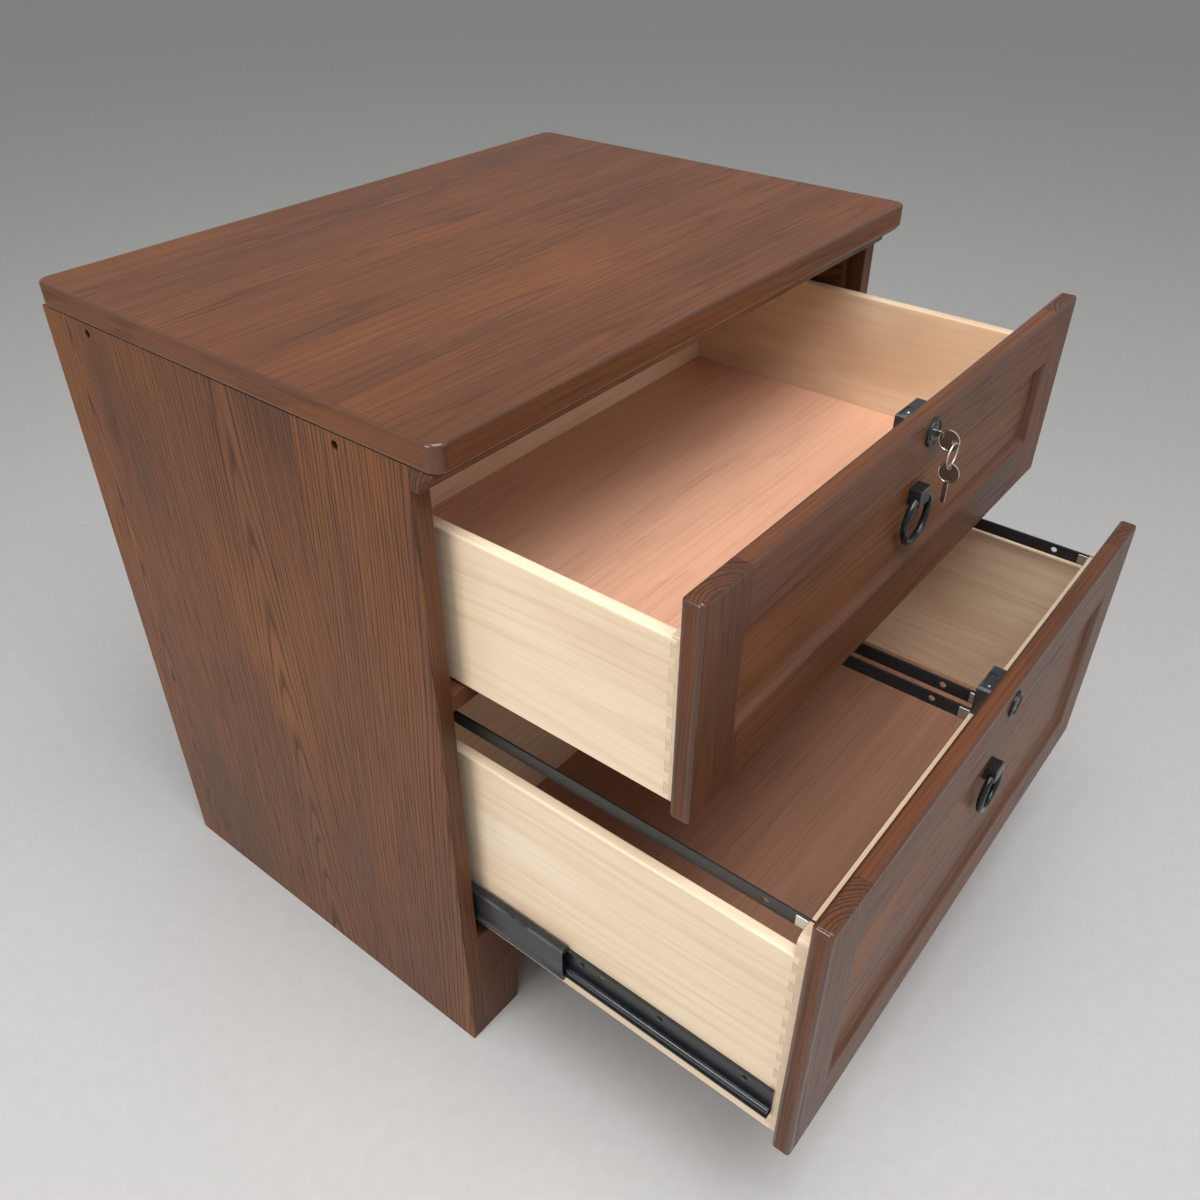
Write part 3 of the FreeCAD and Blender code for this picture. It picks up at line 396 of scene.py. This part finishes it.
pale_board = pale_wood("pale_board")
pale_swirl = pale_wood("pale_swirl", swirl=0.045)
# The box fronts: a darker copy, painted shade over their top edges and darker end grain at the
# pins.
pale_front_endgrain_and_shade = pale_wood("pale_front_endgrain_painted_shade", shade=0.28)
pale_hidden_x = pale_wood("pale_hidden_x", hidden_turn=(0, 0, 0))
pale_hidden_y = pale_wood("pale_hidden_y", hidden_turn=(0, 0, math.radians(-90)))

# %% [markdown]
# ### Reddish plywood
# The drawer bottoms are thin sheets with a rotary-cut face: pink-brown, with long faint streaks
# and tiny dark pores. The upper drawer's bottom is a lighter copy, painted light, and the lower
# drawer's a darker copy, painted shade.

# %% Plywood
def plywood(name, light, dark, hidden=False):
    material, tree, skin = new_finish(name, "plywood", Roughness=0.45, Coat_Weight=0.15,
                                      Coat_Roughness=0.3)
    place = turned_place(tree, (0, 0, 0)) if hidden else carried(tree, "grain")
    wood = use(tree, wood_grain, Place=place, Ring_Gap=0.03, Pith_Depth=0.6, Wander=0.09,
               Taper=0.05, Fibre=0.7)
    share = calc(tree, "ADD", calc(tree, "MULTIPLY", wood["Fibres"], 0.5),
                 calc(tree, "MULTIPLY", wood["Mottle"], 0.5))
    colour = mix(tree, ease(tree, share, 0.3, 0.8), light, dark)
    colour = mix(tree, calc(tree, "MULTIPLY", wood["Pores"], 0.22), colour,
                 (dark[0] * 0.45, dark[1] * 0.4, dark[2] * 0.4, 1))
    feed(tree, skin["Base Color"], colour)
    feed(tree, skin["Roughness"], calc(tree, "MULTIPLY_ADD", wood["Mottle"], 0.2, 0.36))
    feed(tree, skin["Normal"], raised(tree, wood["Height"], 0.00006, 0.6))
    return material


# One plywood in two copies: the upper bottom lightened as painted light, the lower bottom darkened
# as painted shade.
upper_sheet_painted_light = plywood("plywood_painted_light", (0.80, 0.45, 0.30, 1), (0.66, 0.345, 0.22, 1))
lower_sheet_painted_shade = plywood("plywood_painted_shade", (0.40, 0.205, 0.13, 1), (0.27, 0.13, 0.08, 1))
ply_hidden = plywood("back_ply", (0.30, 0.16, 0.10, 1), (0.20, 0.10, 0.065, 1), True)

# %% [markdown]
# ### Metals
# The slides, rails and screws are black-coated steel, the pulls and lock faces a darker rubbed
# iron whose edges are painted grey, partly as rubbing and partly as painted highlight, and the
# keys nickel, whose brown base is a painted reflection of the wood. Rivets, clips and the key
# ring are zinc-plated.

# %% Metal finishes
def metal(name, slot, colour, scuff_and_highlight_colour, roughness, metallic, scuff_and_highlight_share=0.6, cloud_share=0.3):
    """Bare, plated or coated metal, its edges lightened, partly as rubbing and partly as painted
    highlight, with specks and uneven gloss.
    """
    material, tree, skin = new_finish(name, slot, Metallic=metallic)
    marks = use(tree, scuffs, Place=turned_place(tree, (0, 0, 0)))
    # rubbed lightens the edges towards the edge colour: rubbing, and painted highlight along the
    # bevels.
    rubbed = calc(tree, "MULTIPLY", carried(tree, "edge", "Fac"), scuff_and_highlight_share)
    rubbed = calc(tree, "MULTIPLY", rubbed, ease(tree, marks["Cloud"], 0.35, 0.6))
    shade = mix(tree, calc(tree, "MULTIPLY", marks["Cloud"], cloud_share), colour, scuff_and_highlight_colour)
    shade = mix(tree, rubbed, shade, scuff_and_highlight_colour)
    shade = mix(tree, calc(tree, "MULTIPLY", marks["Specks"], 0.35), shade, (0.32, 0.29, 0.25, 1))
    feed(tree, skin["Base Color"], shade)
    rough = calc(tree, "MULTIPLY_ADD", marks["Cloud"], 0.22, roughness)
    rough = calc(tree, "MULTIPLY_ADD", marks["Scratches"], -0.12, rough)
    feed(tree, skin["Roughness"], rough)
    feed(tree, skin["Normal"], raised(tree, marks["Cloud"], 0.00005, 0.4))
    return material


# The slides' bevels are lightened strongly: painted highlight lines along the bends, with some
# rubbing.
black_steel = metal("coated_steel", "black_steel", (0.010, 0.011, 0.013, 1),
                    (0.065, 0.067, 0.073, 1), roughness=0.2, metallic=0.0, scuff_and_highlight_share=1.0)
black_iron = metal("rubbed_iron", "black_iron", (0.012, 0.012, 0.013, 1), (0.10, 0.095, 0.09, 1),
                   roughness=0.16, metallic=0.1, scuff_and_highlight_share=0.7, cloud_share=0.15)
# The nickel's dark brown base colour is a painted reflection of the stained wood round the keys;
# its strongly lightened edges are painted highlight with some rubbing.
nickel = metal("nickel_painted_reflection", "nickel", (0.30, 0.235, 0.18, 1), (0.92, 0.90, 0.86, 1),
               roughness=0.14, metallic=1.0, scuff_and_highlight_share=2.5, cloud_share=0.15)
black_gloss = metal("glossy_coat", "black_steel", (0.007, 0.008, 0.010, 1),
                    (0.03, 0.032, 0.038, 1), roughness=0.02, metallic=0.0, cloud_share=0.1)
dark_iron = metal("glossy_iron", "black_iron", (0.010, 0.011, 0.013, 1), (0.10, 0.10, 0.105, 1),
                  roughness=0.06, metallic=0.2, scuff_and_highlight_share=0.5, cloud_share=0.1)
zinc = metal("zinc_plate", "zinc", (0.62, 0.61, 0.58, 1), (0.8, 0.79, 0.77, 1), roughness=0.28,
             metallic=0.9)

# %% [markdown]
# ## Small tools for modelling
# An operator in Blender acts on all that is selected, so each tool puts everything down first and
# then takes up one piece. Faces and edges are picked by where they are or which way they look.

# %% Modelling helpers
def take_up(piece=None):
    """Deselect everything, and then take up one piece."""
    if bpy.context.object and bpy.context.object.mode != "OBJECT":
        bpy.ops.object.mode_set(mode="OBJECT")
    bpy.ops.object.select_all(action="DESELECT")
    if piece:
        piece.select_set(True)
        bpy.context.view_layer.objects.active = piece


def choose(piece, kind, test):
    """Go into edit mode and select just the faces or edges that pass a test."""
    take_up(piece)
    bpy.ops.object.mode_set(mode="EDIT")
    bpy.ops.mesh.select_mode(type=kind)
    bpy.ops.mesh.select_all(action="DESELECT")
    mesh = bmesh.from_edit_mesh(piece.data)
    picked = [item for item in (mesh.faces if kind == "FACE" else mesh.edges) if test(item)]
    for item in picked:
        item.select_set(True)
    bmesh.update_edit_mesh(piece.data)


def done():
    """Leave edit mode."""
    bpy.ops.object.mode_set(mode="OBJECT")


def block(name, low, high):
    """A plain block at its size and place, the start of a board."""
    take_up()
    low, high = Vector(low), Vector(high)
    bpy.ops.mesh.primitive_cube_add(size=1, location=(low + high) / 2, scale=high - low)
    bpy.ops.object.transform_apply(location=True, rotation=True, scale=True)
    piece = bpy.context.object
    piece.name = piece.data.name = name
    return piece


def round_edges(piece, radius, steps=2, test=lambda edge: True):
    """Take the chosen edges off with a small round."""
    choose(piece, "EDGE", test)
    bpy.ops.mesh.bevel(offset=radius, segments=steps, affect="EDGES")
    done()


def step_face(piece, test, steps):
    """Let the chosen faces step inwards and, at the same time, out or back, in millimetres. The
    piece stays in edit mode with its last faces chosen."""
    choose(piece, "FACE", test)
    for inwards, outwards in steps:
        bpy.ops.mesh.inset(thickness=inwards * MM, depth=outwards * MM)


def cut_away(piece, tool):
    """Take the shape of a tool out of a piece, and throw the tool away."""
    take_up(piece)
    cut = piece.modifiers.new("cut", "BOOLEAN")
    cut.object = tool
    bpy.ops.object.modifier_apply(modifier=cut.name)
    bpy.data.objects.remove(tool)


def disc(name, radius, depth, place, turn, corners=64):
    """A short round bar at its place."""
    take_up()
    bpy.ops.mesh.primitive_cylinder_add(vertices=corners, radius=radius, depth=depth,
                                        location=place, rotation=turn)
    bpy.ops.object.transform_apply(location=True, rotation=True, scale=True)
    piece = bpy.context.object
    piece.name = piece.data.name = name
    return piece


def runs(edge, axis):
    """Whether an edge runs along an axis."""
    step = edge.verts[0].co - edge.verts[1].co
    return abs(step[axis]) > 0.999 * step.length


def copy_of(node_name, name, radius, steps=2, first=None):
    """A copy of a measured node, its loose triangles merged and its sharp edges softened. Edges
    that need a bigger round get it first."""
    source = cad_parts[node_name]
    piece = bpy.data.objects.new(name, source.data.copy())
    piece.data.name = name
    bpy.context.scene.collection.objects.link(piece)
    piece.data.materials.clear()
    take_up(piece)
    bpy.ops.object.mode_set(mode="EDIT")
    bpy.ops.mesh.select_all(action="SELECT")
    bpy.ops.mesh.remove_doubles(threshold=0.00001)
    bpy.ops.mesh.dissolve_limited(angle_limit=math.radians(1))
    done()
    if first:
        round_edges(piece, *first)
    if radius:
        soften = piece.modifiers.new("soft edges", "BEVEL")
        soften.width = radius
        soften.segments = steps
        soften.limit_method = "ANGLE"
        soften.angle_limit = math.radians(40)
        bpy.ops.object.modifier_apply(modifier=soften.name)
    return piece


AXES = {"x": 0, "y": 1, "z": 2}


def lay_grain(piece, axes, spread, turned):
    """Write each corner's place in its tree. axes names the directions along the grain, across
    the face and into it. turned is a test for faces with another grain, and that grain's axes. A
    single board gets a pith of its own."""
    mesh = piece.data
    middle = [(min(v.co[i] for v in mesh.vertices) + max(v.co[i] for v in mesh.vertices)) / 2
              for i in range(3)]
    shift = chance.uniform(-20, 20)
    offset = 0 if spread is None else chance.uniform(-spread, spread)
    first = [AXES[letter] for letter in axes]
    test, other = turned or (lambda face: False, axes)
    other = [AXES[letter] for letter in other]
    values = [0.0] * (3 * len(mesh.loops))
    for face in mesh.polygons:
        along, across, deep = other if test(face) else first
        for index in face.loop_indices:
            p = mesh.vertices[mesh.loops[index].vertex_index].co
            values[3 * index:3 * index + 3] = (
                p[along] - middle[along] + shift, p[across] - middle[across] + offset,
                p[deep] - middle[deep])
    layer = mesh.attributes.new("grain", "FLOAT_VECTOR", "CORNER")
    layer.data.foreach_set("vector", values)
    layer = mesh.attributes.new("end", "FLOAT", "FACE")
    layer.data.foreach_set("value", [
        1.0 if abs(face.normal[first[0]]) > 0.7 and not turned else 0.0
        for face in mesh.polygons])


def mark_edges(piece, share):
    """Mark the narrow faces between the flats, where hands and dust reach and where metal finishes
    paint highlight.
    """
    layer = piece.data.attributes.new("edge", "FLOAT", "FACE")
    layer.data.foreach_set("value", [
        0.0 if max(abs(v) for v in face.normal) > 0.999 else share
        for face in piece.data.polygons])


def dress(piece, body, finish, *nodes, grain=None, spread=None, turned=None, smooth=35,
          edges=1.0):
    """Shade a finished piece, give it its finish, and let it ride and stand for its nodes."""
    take_up(piece)
    bpy.ops.object.shade_smooth_by_angle(angle=math.radians(smooth))
    even = piece.modifiers.new("even shading", "WEIGHTED_NORMAL")
    even.keep_sharp = True
    bpy.ops.object.modifier_apply(modifier=even.name)
    piece.data.materials.clear()
    piece.data.materials.append(finish)
    mark_edges(piece, edges)
    if grain:
        lay_grain(piece, grain, spread, turned)
    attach(piece, body)
    if nodes:
        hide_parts(*nodes)


print("modelling helpers are ready")

# %% [markdown]
# ## Top
# The top is a slab glued from narrow boards that run from side to side. Its upright corners are
# cut to a generous round and its faces are eased with a router. Two bevels in that order do the
# same here: first the four upright edges, then the rims of the faces.

# %% Slab
CORNER_ROUND = 13 * MM
RIM_ROUND = 3.5 * MM
UPRIGHT = AXES["z"]
slab = block("slab", *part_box("top_slab"))
round_edges(slab, CORNER_ROUND, 10, lambda edge: runs(edge, UPRIGHT))
round_edges(slab, RIM_ROUND, 5, lambda edge: not runs(edge, UPRIGHT))
dress(slab, "carcass", ash_slab, "top_slab", grain="xyz",
      turned=(lambda face: abs(face.normal.x) > 0.5, "yzx"))
print("slab", len(slab.data.polygons), "faces")

# %% [markdown]
# ## Sides
# Each side is a wide panel behind a solid front stile. Measured copies keep the step for the
# stile and the deep round screw holes, and only the sharp edges are broken.

# %% Side panels and stiles
for side in ("left", "right"):
    panel = copy_of(f"{side}_side_panel", f"{side}_side", 0.8 * MM, 3)
    dress(panel, "carcass", ash_side, f"{side}_side_panel", grain="zyx")
    stile = block(f"{side}_stile", *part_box(f"{side}_front_stile"))
    round_edges(stile, 0.8 * MM, 3)
    dress(stile, "carcass", ash_board, f"{side}_front_stile", grain="zyx", spread=0.01)

# %% [markdown]
# ## Rails, feet and moulding
# Straight boards between the sides. The hollow moulding under the slab's lip and the slanted feet
# come from the measured model.

# %% Front of the carcass
for name in ("top_rail", "middle_rail", "bottom_rail", "cove_moulding"):
    dress(copy_of(name, name + "_piece", 0.6 * MM, 2), "carcass", ash_board, name, grain="xzy",
          spread=0.01, edges=0.2)
dress(copy_of("front_feet", "feet", 0.8 * MM, 2), "carcass", ash_board, "front_feet",
      grain="zxy", spread=0.01)

# %% [markdown]
# ## Parts inside the carcass
# Runners, cleats and the back can be seen between the drawers. Their measured shapes are right, so
# they stay and only get their finish. The guides beside the upper drawer are stained, since their
# ends show at the front.

# %% Hidden wood
dress(copy_of("side_guides", "guides", 0.5 * MM), "carcass", ash_side, "side_guides",
      grain="yzx")
for name, finish in (("runners", pale_hidden_y), ("kickers", pale_hidden_y),
                     ("slab_cleats", pale_hidden_y), ("back_rails", pale_hidden_x),
                     ("back_panel", ply_hidden), ("dust_panel", ply_hidden),
                     ("side_screws", black_steel), ("slide_screws", black_steel)):
    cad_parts[name].data.materials.clear()
    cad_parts[name].data.materials.append(finish)

# %% [markdown]
# ## Drawer fronts
# Each front is a frame of two stiles and two rails round a sunk panel. The frame's inner edge
# carries a small rounded moulding, mitred at the corners. One plane a little larger than the
# opening gives it: every inset goes a little inwards and a little deeper, and so the corners mitre
# themselves. It starts where the measured frame's plain bevel does, and covers that.

# %% Opening moulding
BEVEL = 5 * MM
STEPS = ((1.1, -0.1), (1.3, -0.6), (1.4, -1.1), (1.4, -1.4), (1.5, -1.4), (1.4, -1.1),
         (1.3, -0.8), (1.0, -0.4), (0.3, -0.3))


def opening_moulding(drawer):
    """A mitred moulding round the opening of a frame, and its grain, which turns at the mitres."""
    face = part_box(f"{drawer}_front_left_stile")[0][1] + 0.1 * MM
    rail_low, rail_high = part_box(f"{drawer}_front_lower_rail")
    left, right, low = rail_low[0] - BEVEL, rail_high[0] + BEVEL, rail_high[2] - BEVEL
    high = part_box(f"{drawer}_front_upper_rail")[0][2] + BEVEL
    take_up()
    bpy.ops.mesh.primitive_plane_add(size=1, location=((left + right) / 2, face, (low + high) / 2),
                                     rotation=(math.radians(90), 0, 0))
    piece = bpy.context.object
    piece.name = piece.data.name = f"{drawer}_moulding"
    piece.scale = (right - left, high - low, 1)
    bpy.ops.object.transform_apply(location=True, rotation=True, scale=True)
    step_face(piece, lambda item: True, STEPS)
    bpy.ops.mesh.delete(type="FACE")
    done()

    def upright(item):
        x, _, z = item.center
        return min(x - left, right - x) < min(z - low, high - z)
    return piece, upright


# %% [markdown]
# ### Boards and panels of the fronts
# Stiles and rails are separate boards, each with its own grain, so they are four copies of the
# measured boards, which keep their grooves and bores. The panel between them is plain, and a new
# block does for it. The moulding is laid round it last.

# %% Frames and panels
BODIES = {"top": "upper_drawer", "low": "lower_drawer"}
for drawer, body in BODIES.items():
    for part, grain in (("left_stile", "zxy"), ("right_stile", "zxy"), ("lower_rail", "xzy"),
                        ("upper_rail", "xzy")):
        node_name = f"{drawer}_front_{part}"
        piece = copy_of(node_name, f"{drawer}_{part}", 0.3 * MM, 1)
        dress(piece, body, ash_board, node_name, grain=grain, spread=0.025)
    node_name = f"{drawer}_front_panel"
    panel = block(f"{drawer}_panel", *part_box(node_name))
    round_edges(panel, 0.4 * MM, 1)
    dress(panel, body, ash_panel, node_name, grain="xzy")
    moulding, upright = opening_moulding(drawer)
    dress(moulding, body, ash_board, grain="xzy", turned=(upright, "zxy"), smooth=50, edges=0.5)
    print(moulding.name, len(moulding.data.polygons), "faces")

# %% [markdown]
# ## Drawer boxes
# The boxes are dovetailed: the sides' tails grip the pins of the front, and both keep their own
# grain, so the joint shows as patches of end grain on the side. The sides' top edges are rounded
# over, which is done on the sharp copy before the rest is softened.

# %% Boxes
HAND_ROUND = 2.5 * MM
for drawer, body in BODIES.items():
    for part, grain, finish in (
            ("left_side", "yzx", pale_board), ("right_side", "yzx", pale_swirl),
            ("front", "xzy", pale_front_endgrain_and_shade), ("back", "xzy", pale_board)):
        node_name = f"{drawer}_box_{part}"
        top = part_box(node_name)[1][2] - 0.1 * MM
        rounded = (HAND_ROUND, 4,
                   lambda edge: runs(edge, AXES["y"]) and edge.verts[0].co.z > top)
        piece = copy_of(node_name, f"{drawer}_box_{part}_board", 0.5 * MM, 2,
                        first=rounded if "side" in part else None)
        dress(piece, body, finish, node_name, grain=grain, spread=0.05)
    bottom = block(f"{drawer}_box_sheet", *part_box(f"{drawer}_box_bottom"))
    round_edges(bottom, 0.3 * MM, 1)
    dress(bottom, body, upper_sheet_painted_light if drawer == "top" else lower_sheet_painted_shade, f"{drawer}_box_bottom",
          grain="xyz")

# %% [markdown]
# ## Pulls
# A cast block holds a round ring, which passes through it and swings. The measured shapes are
# right, and the block's edges get a generous round, because that is where black paint catches the
# light.

# %% Pulls
for drawer, place in (("top", "upper"), ("low", "lower")):
    mount = copy_of(f"{drawer}_pull_mount", f"{drawer}_pull_block", 0.9 * MM, 3)
    dress(mount, f"{place}_drawer", black_iron, f"{drawer}_pull_mount", smooth=50)
    ring = copy_of(f"{drawer}_pull_ring", f"{drawer}_ring", 0)
    dress(ring, f"{place}_pull", dark_iron, f"{drawer}_pull_ring", smooth=60, edges=0)
print("ring", len(ring.data.polygons), "faces")

# %% [markdown]
# ## Locks
# Seen from the front a lock is a dished ring round a plug with a keyway. It starts as a short
# round bar. Its front face steps in and out, which gives the rim, the dish and the plug, its back
# face grows into the barrel, and a thin block cuts the keyway.

# %% Locks
RIM_TO_PLUG = ((0.9, 0.9), (0.8, 0.3), (0.9, -0.3), (1.0, -1.1), (2.2, -0.3), (0.3, -0.5),
               (0.3, 0.9), (0.6, 0.3))
TO_BARREL = ((4.1, 0), (0.02, 22.7))
FACE_DEPTH = 1.6 * MM
KEYWAY = Vector((1.1, 0, 4.5)) * MM
KEYWAY_DEPTH = 16 * MM

for drawer, place in (("top", "upper"), ("low", "lower")):
    low, high = (Vector(corner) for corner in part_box(f"{drawer}_lock_cylinder"))
    middle = (low + high) / 2
    lock = disc(f"{drawer}_lock", (high.x - low.x) / 2, FACE_DEPTH,
                (middle.x, low.y + 2 * MM, middle.z), (math.radians(90), 0, 0), 72)
    step_face(lock, lambda item: item.normal.y < -0.9, RIM_TO_PLUG)
    step_face(lock, lambda item: item.normal.y > 0.9 and item.calc_area() > 0.0001, TO_BARREL)
    done()
    front = Vector((middle.x, low.y, middle.z))
    cut_away(lock, block("keyway", front - KEYWAY - Vector((0, MM, 0)),
                         front + KEYWAY + Vector((0, KEYWAY_DEPTH, 0))))
    dress(lock, f"{place}_lock", dark_iron, f"{drawer}_lock_cylinder", smooth=30, edges=0.3)
    dress(copy_of(f"{drawer}_lock_housing", f"{drawer}_housing", 0.6 * MM, 3), f"{place}_drawer",
          black_steel, f"{drawer}_lock_housing", smooth=50)
    low, high = (Vector(corner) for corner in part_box(f"{drawer}_lock_housing"))
    dress(copy_of(f"{drawer}_lock_bolt", f"{drawer}_bolt", 0.5 * MM), f"{place}_bolt", black_steel,
          f"{drawer}_lock_bolt")
    rivet = disc(f"{drawer}_housing_rivet", 1.4 * MM, 1.2 * MM,
                 (low.x + 7 * MM, low.y + 5 * MM, high.z), (0, 0, 0), 24)
    step_face(rivet, lambda item: item.normal.z > 0.9, ((0.3, 0.3), (0.5, 0.2)))
    done()
    dress(rivet, f"{place}_drawer", zinc, smooth=50)
print("lock", len(lock.data.polygons), "faces")

# %% [markdown]
# ## Keys
# A flat key is a pressed disc with a raised rim and a blade. Both faces of a short round bar step
# in a little, a bar cuts the hole, and the blade is a separate block, joined to it. The spare
# key's blade has a pointed end; the other one's is in the lock. Bright edges are painted
# highlight, with some rubbing, on the narrow faces between the flats.

# %% Keys
BOW = 9.8 * MM
EYE = 2.5 * MM
BOW_TO_EYE = 5.6 * MM
HALF_BLADE = 0.8 * MM
ACROSS = (0, math.radians(90), 0)


def flat_key(name, bow_at, eye_at, blade_low, blade_high, tip):
    """A key in the plane of y and z, where its places are given. tip picks the blade's end."""
    bow = disc(name, BOW, 2 * MM, (0, *bow_at), ACROSS)
    for way in (-1, 1):
        step_face(bow, lambda item: item.normal.x * way > 0.9, ((0.7, 0.0), (0.4, -0.35)))
        done()
    cut_away(bow, disc("eye", EYE, 6 * MM, (0, *eye_at), ACROSS, 32))
    blade = block("blade", (-HALF_BLADE, *blade_low), (HALF_BLADE, *blade_high))
    round_edges(blade, 1.5 * MM, 1, tip)
    round_edges(blade, 0.35 * MM, 1, lambda edge: not runs(edge, AXES["x"]))
    take_up(bow)
    blade.select_set(True)
    bpy.ops.object.join()
    return bow


low, high = (Vector(corner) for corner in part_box("top_lock_key"))
height = high.z - BOW
key = flat_key("key", (low.y + BOW, height), (low.y + BOW - BOW_TO_EYE, height),
               (low.y + BOW + 5 * MM, height + 0.4 * MM), (high.y, height + 6.6 * MM),
               lambda edge: False)
dress(key, "upper_lock", nickel, "top_lock_key", smooth=30)
low, high = (Vector(corner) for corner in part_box("spare_key"))
middle = (low.y + high.y) / 2
second = flat_key("second_key", (middle, high.z - BOW), (middle, high.z - BOW + BOW_TO_EYE),
                  (middle - 2.2 * MM, low.z), (middle + 2.2 * MM, high.z - 17 * MM),
                  lambda edge: runs(edge, AXES["x"]) and edge.verts[0].co.z < low.z + MM)
dress(second, "spare_key_link", nickel, "spare_key", smooth=30)
dress(copy_of("key_link", "key_ring", 0), "spare_key_link", zinc, "key_link", smooth=60)
print("keys", len(key.data.polygons), len(second.data.polygons), "faces")

# %% [markdown]
# ## Slides
# A slide has three members of bent steel. The middle one is a channel whose long edges are bent
# to a round and whose web has a pressed groove. The drawer's member is a channel that opens
# outwards, with a round, glossy track in its lower third, a bar with two edges rounded.

# %% Slides
GROOVE_LOW, GROOVE_HIGH = 6 * MM, 20 * MM
LIP_FACE = 353.5 * MM
LIP_SHORTENED = 5 * MM
TRACK_NEAR, TRACK_FAR = 346.5 * MM, 353.2 * MM
TRACK_LOW, TRACK_HIGH = 2.4 * MM, 12 * MM


def faces_out(face, way, past):
    """Whether a face looks out to its side and lies further out than a plane."""
    return face.normal.x * way > 0.9 and abs(face.calc_center_median().x) > past


for side, way in (("left", -1), ("right", 1)):
    dress(copy_of(f"{side}_slide_outer", f"{side}_outer_member", 0.5 * MM), "carcass", black_steel,
          f"{side}_slide_outer")
    low, high = (Vector(corner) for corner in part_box(f"{side}_slide_middle"))
    web = max(abs(low.x), abs(high.x)) - 0.1 * MM
    middle = copy_of(f"{side}_slide_middle", f"{side}_middle_member", 0, first=(
        2.2 * MM, 4, lambda edge: runs(edge, AXES["y"]) and abs(edge.verts[0].co.x) > web))
    take_up(middle)
    bpy.ops.object.mode_set(mode="EDIT")
    for height in (GROOVE_LOW, GROOVE_HIGH):
        bpy.ops.mesh.select_all(action="SELECT")
        bpy.ops.mesh.bisect(plane_co=(0, 0, low.z + height), plane_no=(0, 0, 1))
    step_face(middle, lambda item: faces_out(item, way, web) and (
        GROOVE_LOW < item.calc_center_median().z - low.z < GROOVE_HIGH), ((1.4, -1.1),))
    done()
    dress(middle, f"{side}_middle_slide", black_steel, f"{side}_slide_middle")
    inner = copy_of(f"{side}_slide_inner", f"{side}_inner_member", 0)
    low, high = (Vector(corner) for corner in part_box(f"{side}_slide_inner"))
    choose(inner, "FACE", lambda item: faces_out(item, way, LIP_FACE) and (
        item.calc_center_median().z > high.z - 3 * MM))
    bpy.ops.transform.translate(value=(-way * LIP_SHORTENED, 0, 0))
    done()
    dress(inner, "lower_drawer", black_steel, f"{side}_slide_inner")
    near, far = sorted((way * TRACK_NEAR, way * TRACK_FAR))
    track = block(f"{side}_track", (near, low.y + MM, low.z + TRACK_LOW),
                  (far, high.y - MM, low.z + TRACK_HIGH))
    round_edges(track, 3.8 * MM, 8, lambda edge: (
        runs(edge, AXES["y"]) and abs(edge.verts[0].co.x) > TRACK_FAR - 0.2 * MM))
    dress(track, "lower_drawer", black_gloss)
print("middle member", len(middle.data.polygons), "faces")

# %% [markdown]
# ## Hanging rails
# Flat black bars for hanging folders run from front to back and end in small pale clips. Their
# measured shapes are simple and right, so copies with broken edges do.

# %% Hanging rails
dress(copy_of("hanging_rails", "rails", 0.4 * MM), "lower_drawer", black_steel, "hanging_rails")
dress(copy_of("rail_clips", "clips", 0.5 * MM), "lower_drawer", zinc, "rail_clips")
print("rails and clips are dressed")

# %% [markdown]
# ## Floor
# A plain pale floor takes the cabinet's shadow.

# %% Floor
take_up()
bpy.ops.mesh.primitive_plane_add(size=40, location=(0, 0, 0))
floor = bpy.context.object
floor.name = "studio_floor"
material, tree, skin = new_finish("floor_paint", "floor", Roughness=0.7)
speck = cloud(tree, node(tree, "ShaderNodeTexCoord").outputs["Object"], 60.0, 3.0)
feed(tree, skin["Base Color"], mix(tree, speck, (0.47, 0.465, 0.455, 1), (0.53, 0.525, 0.515, 1)))
floor.data.materials.append(material)
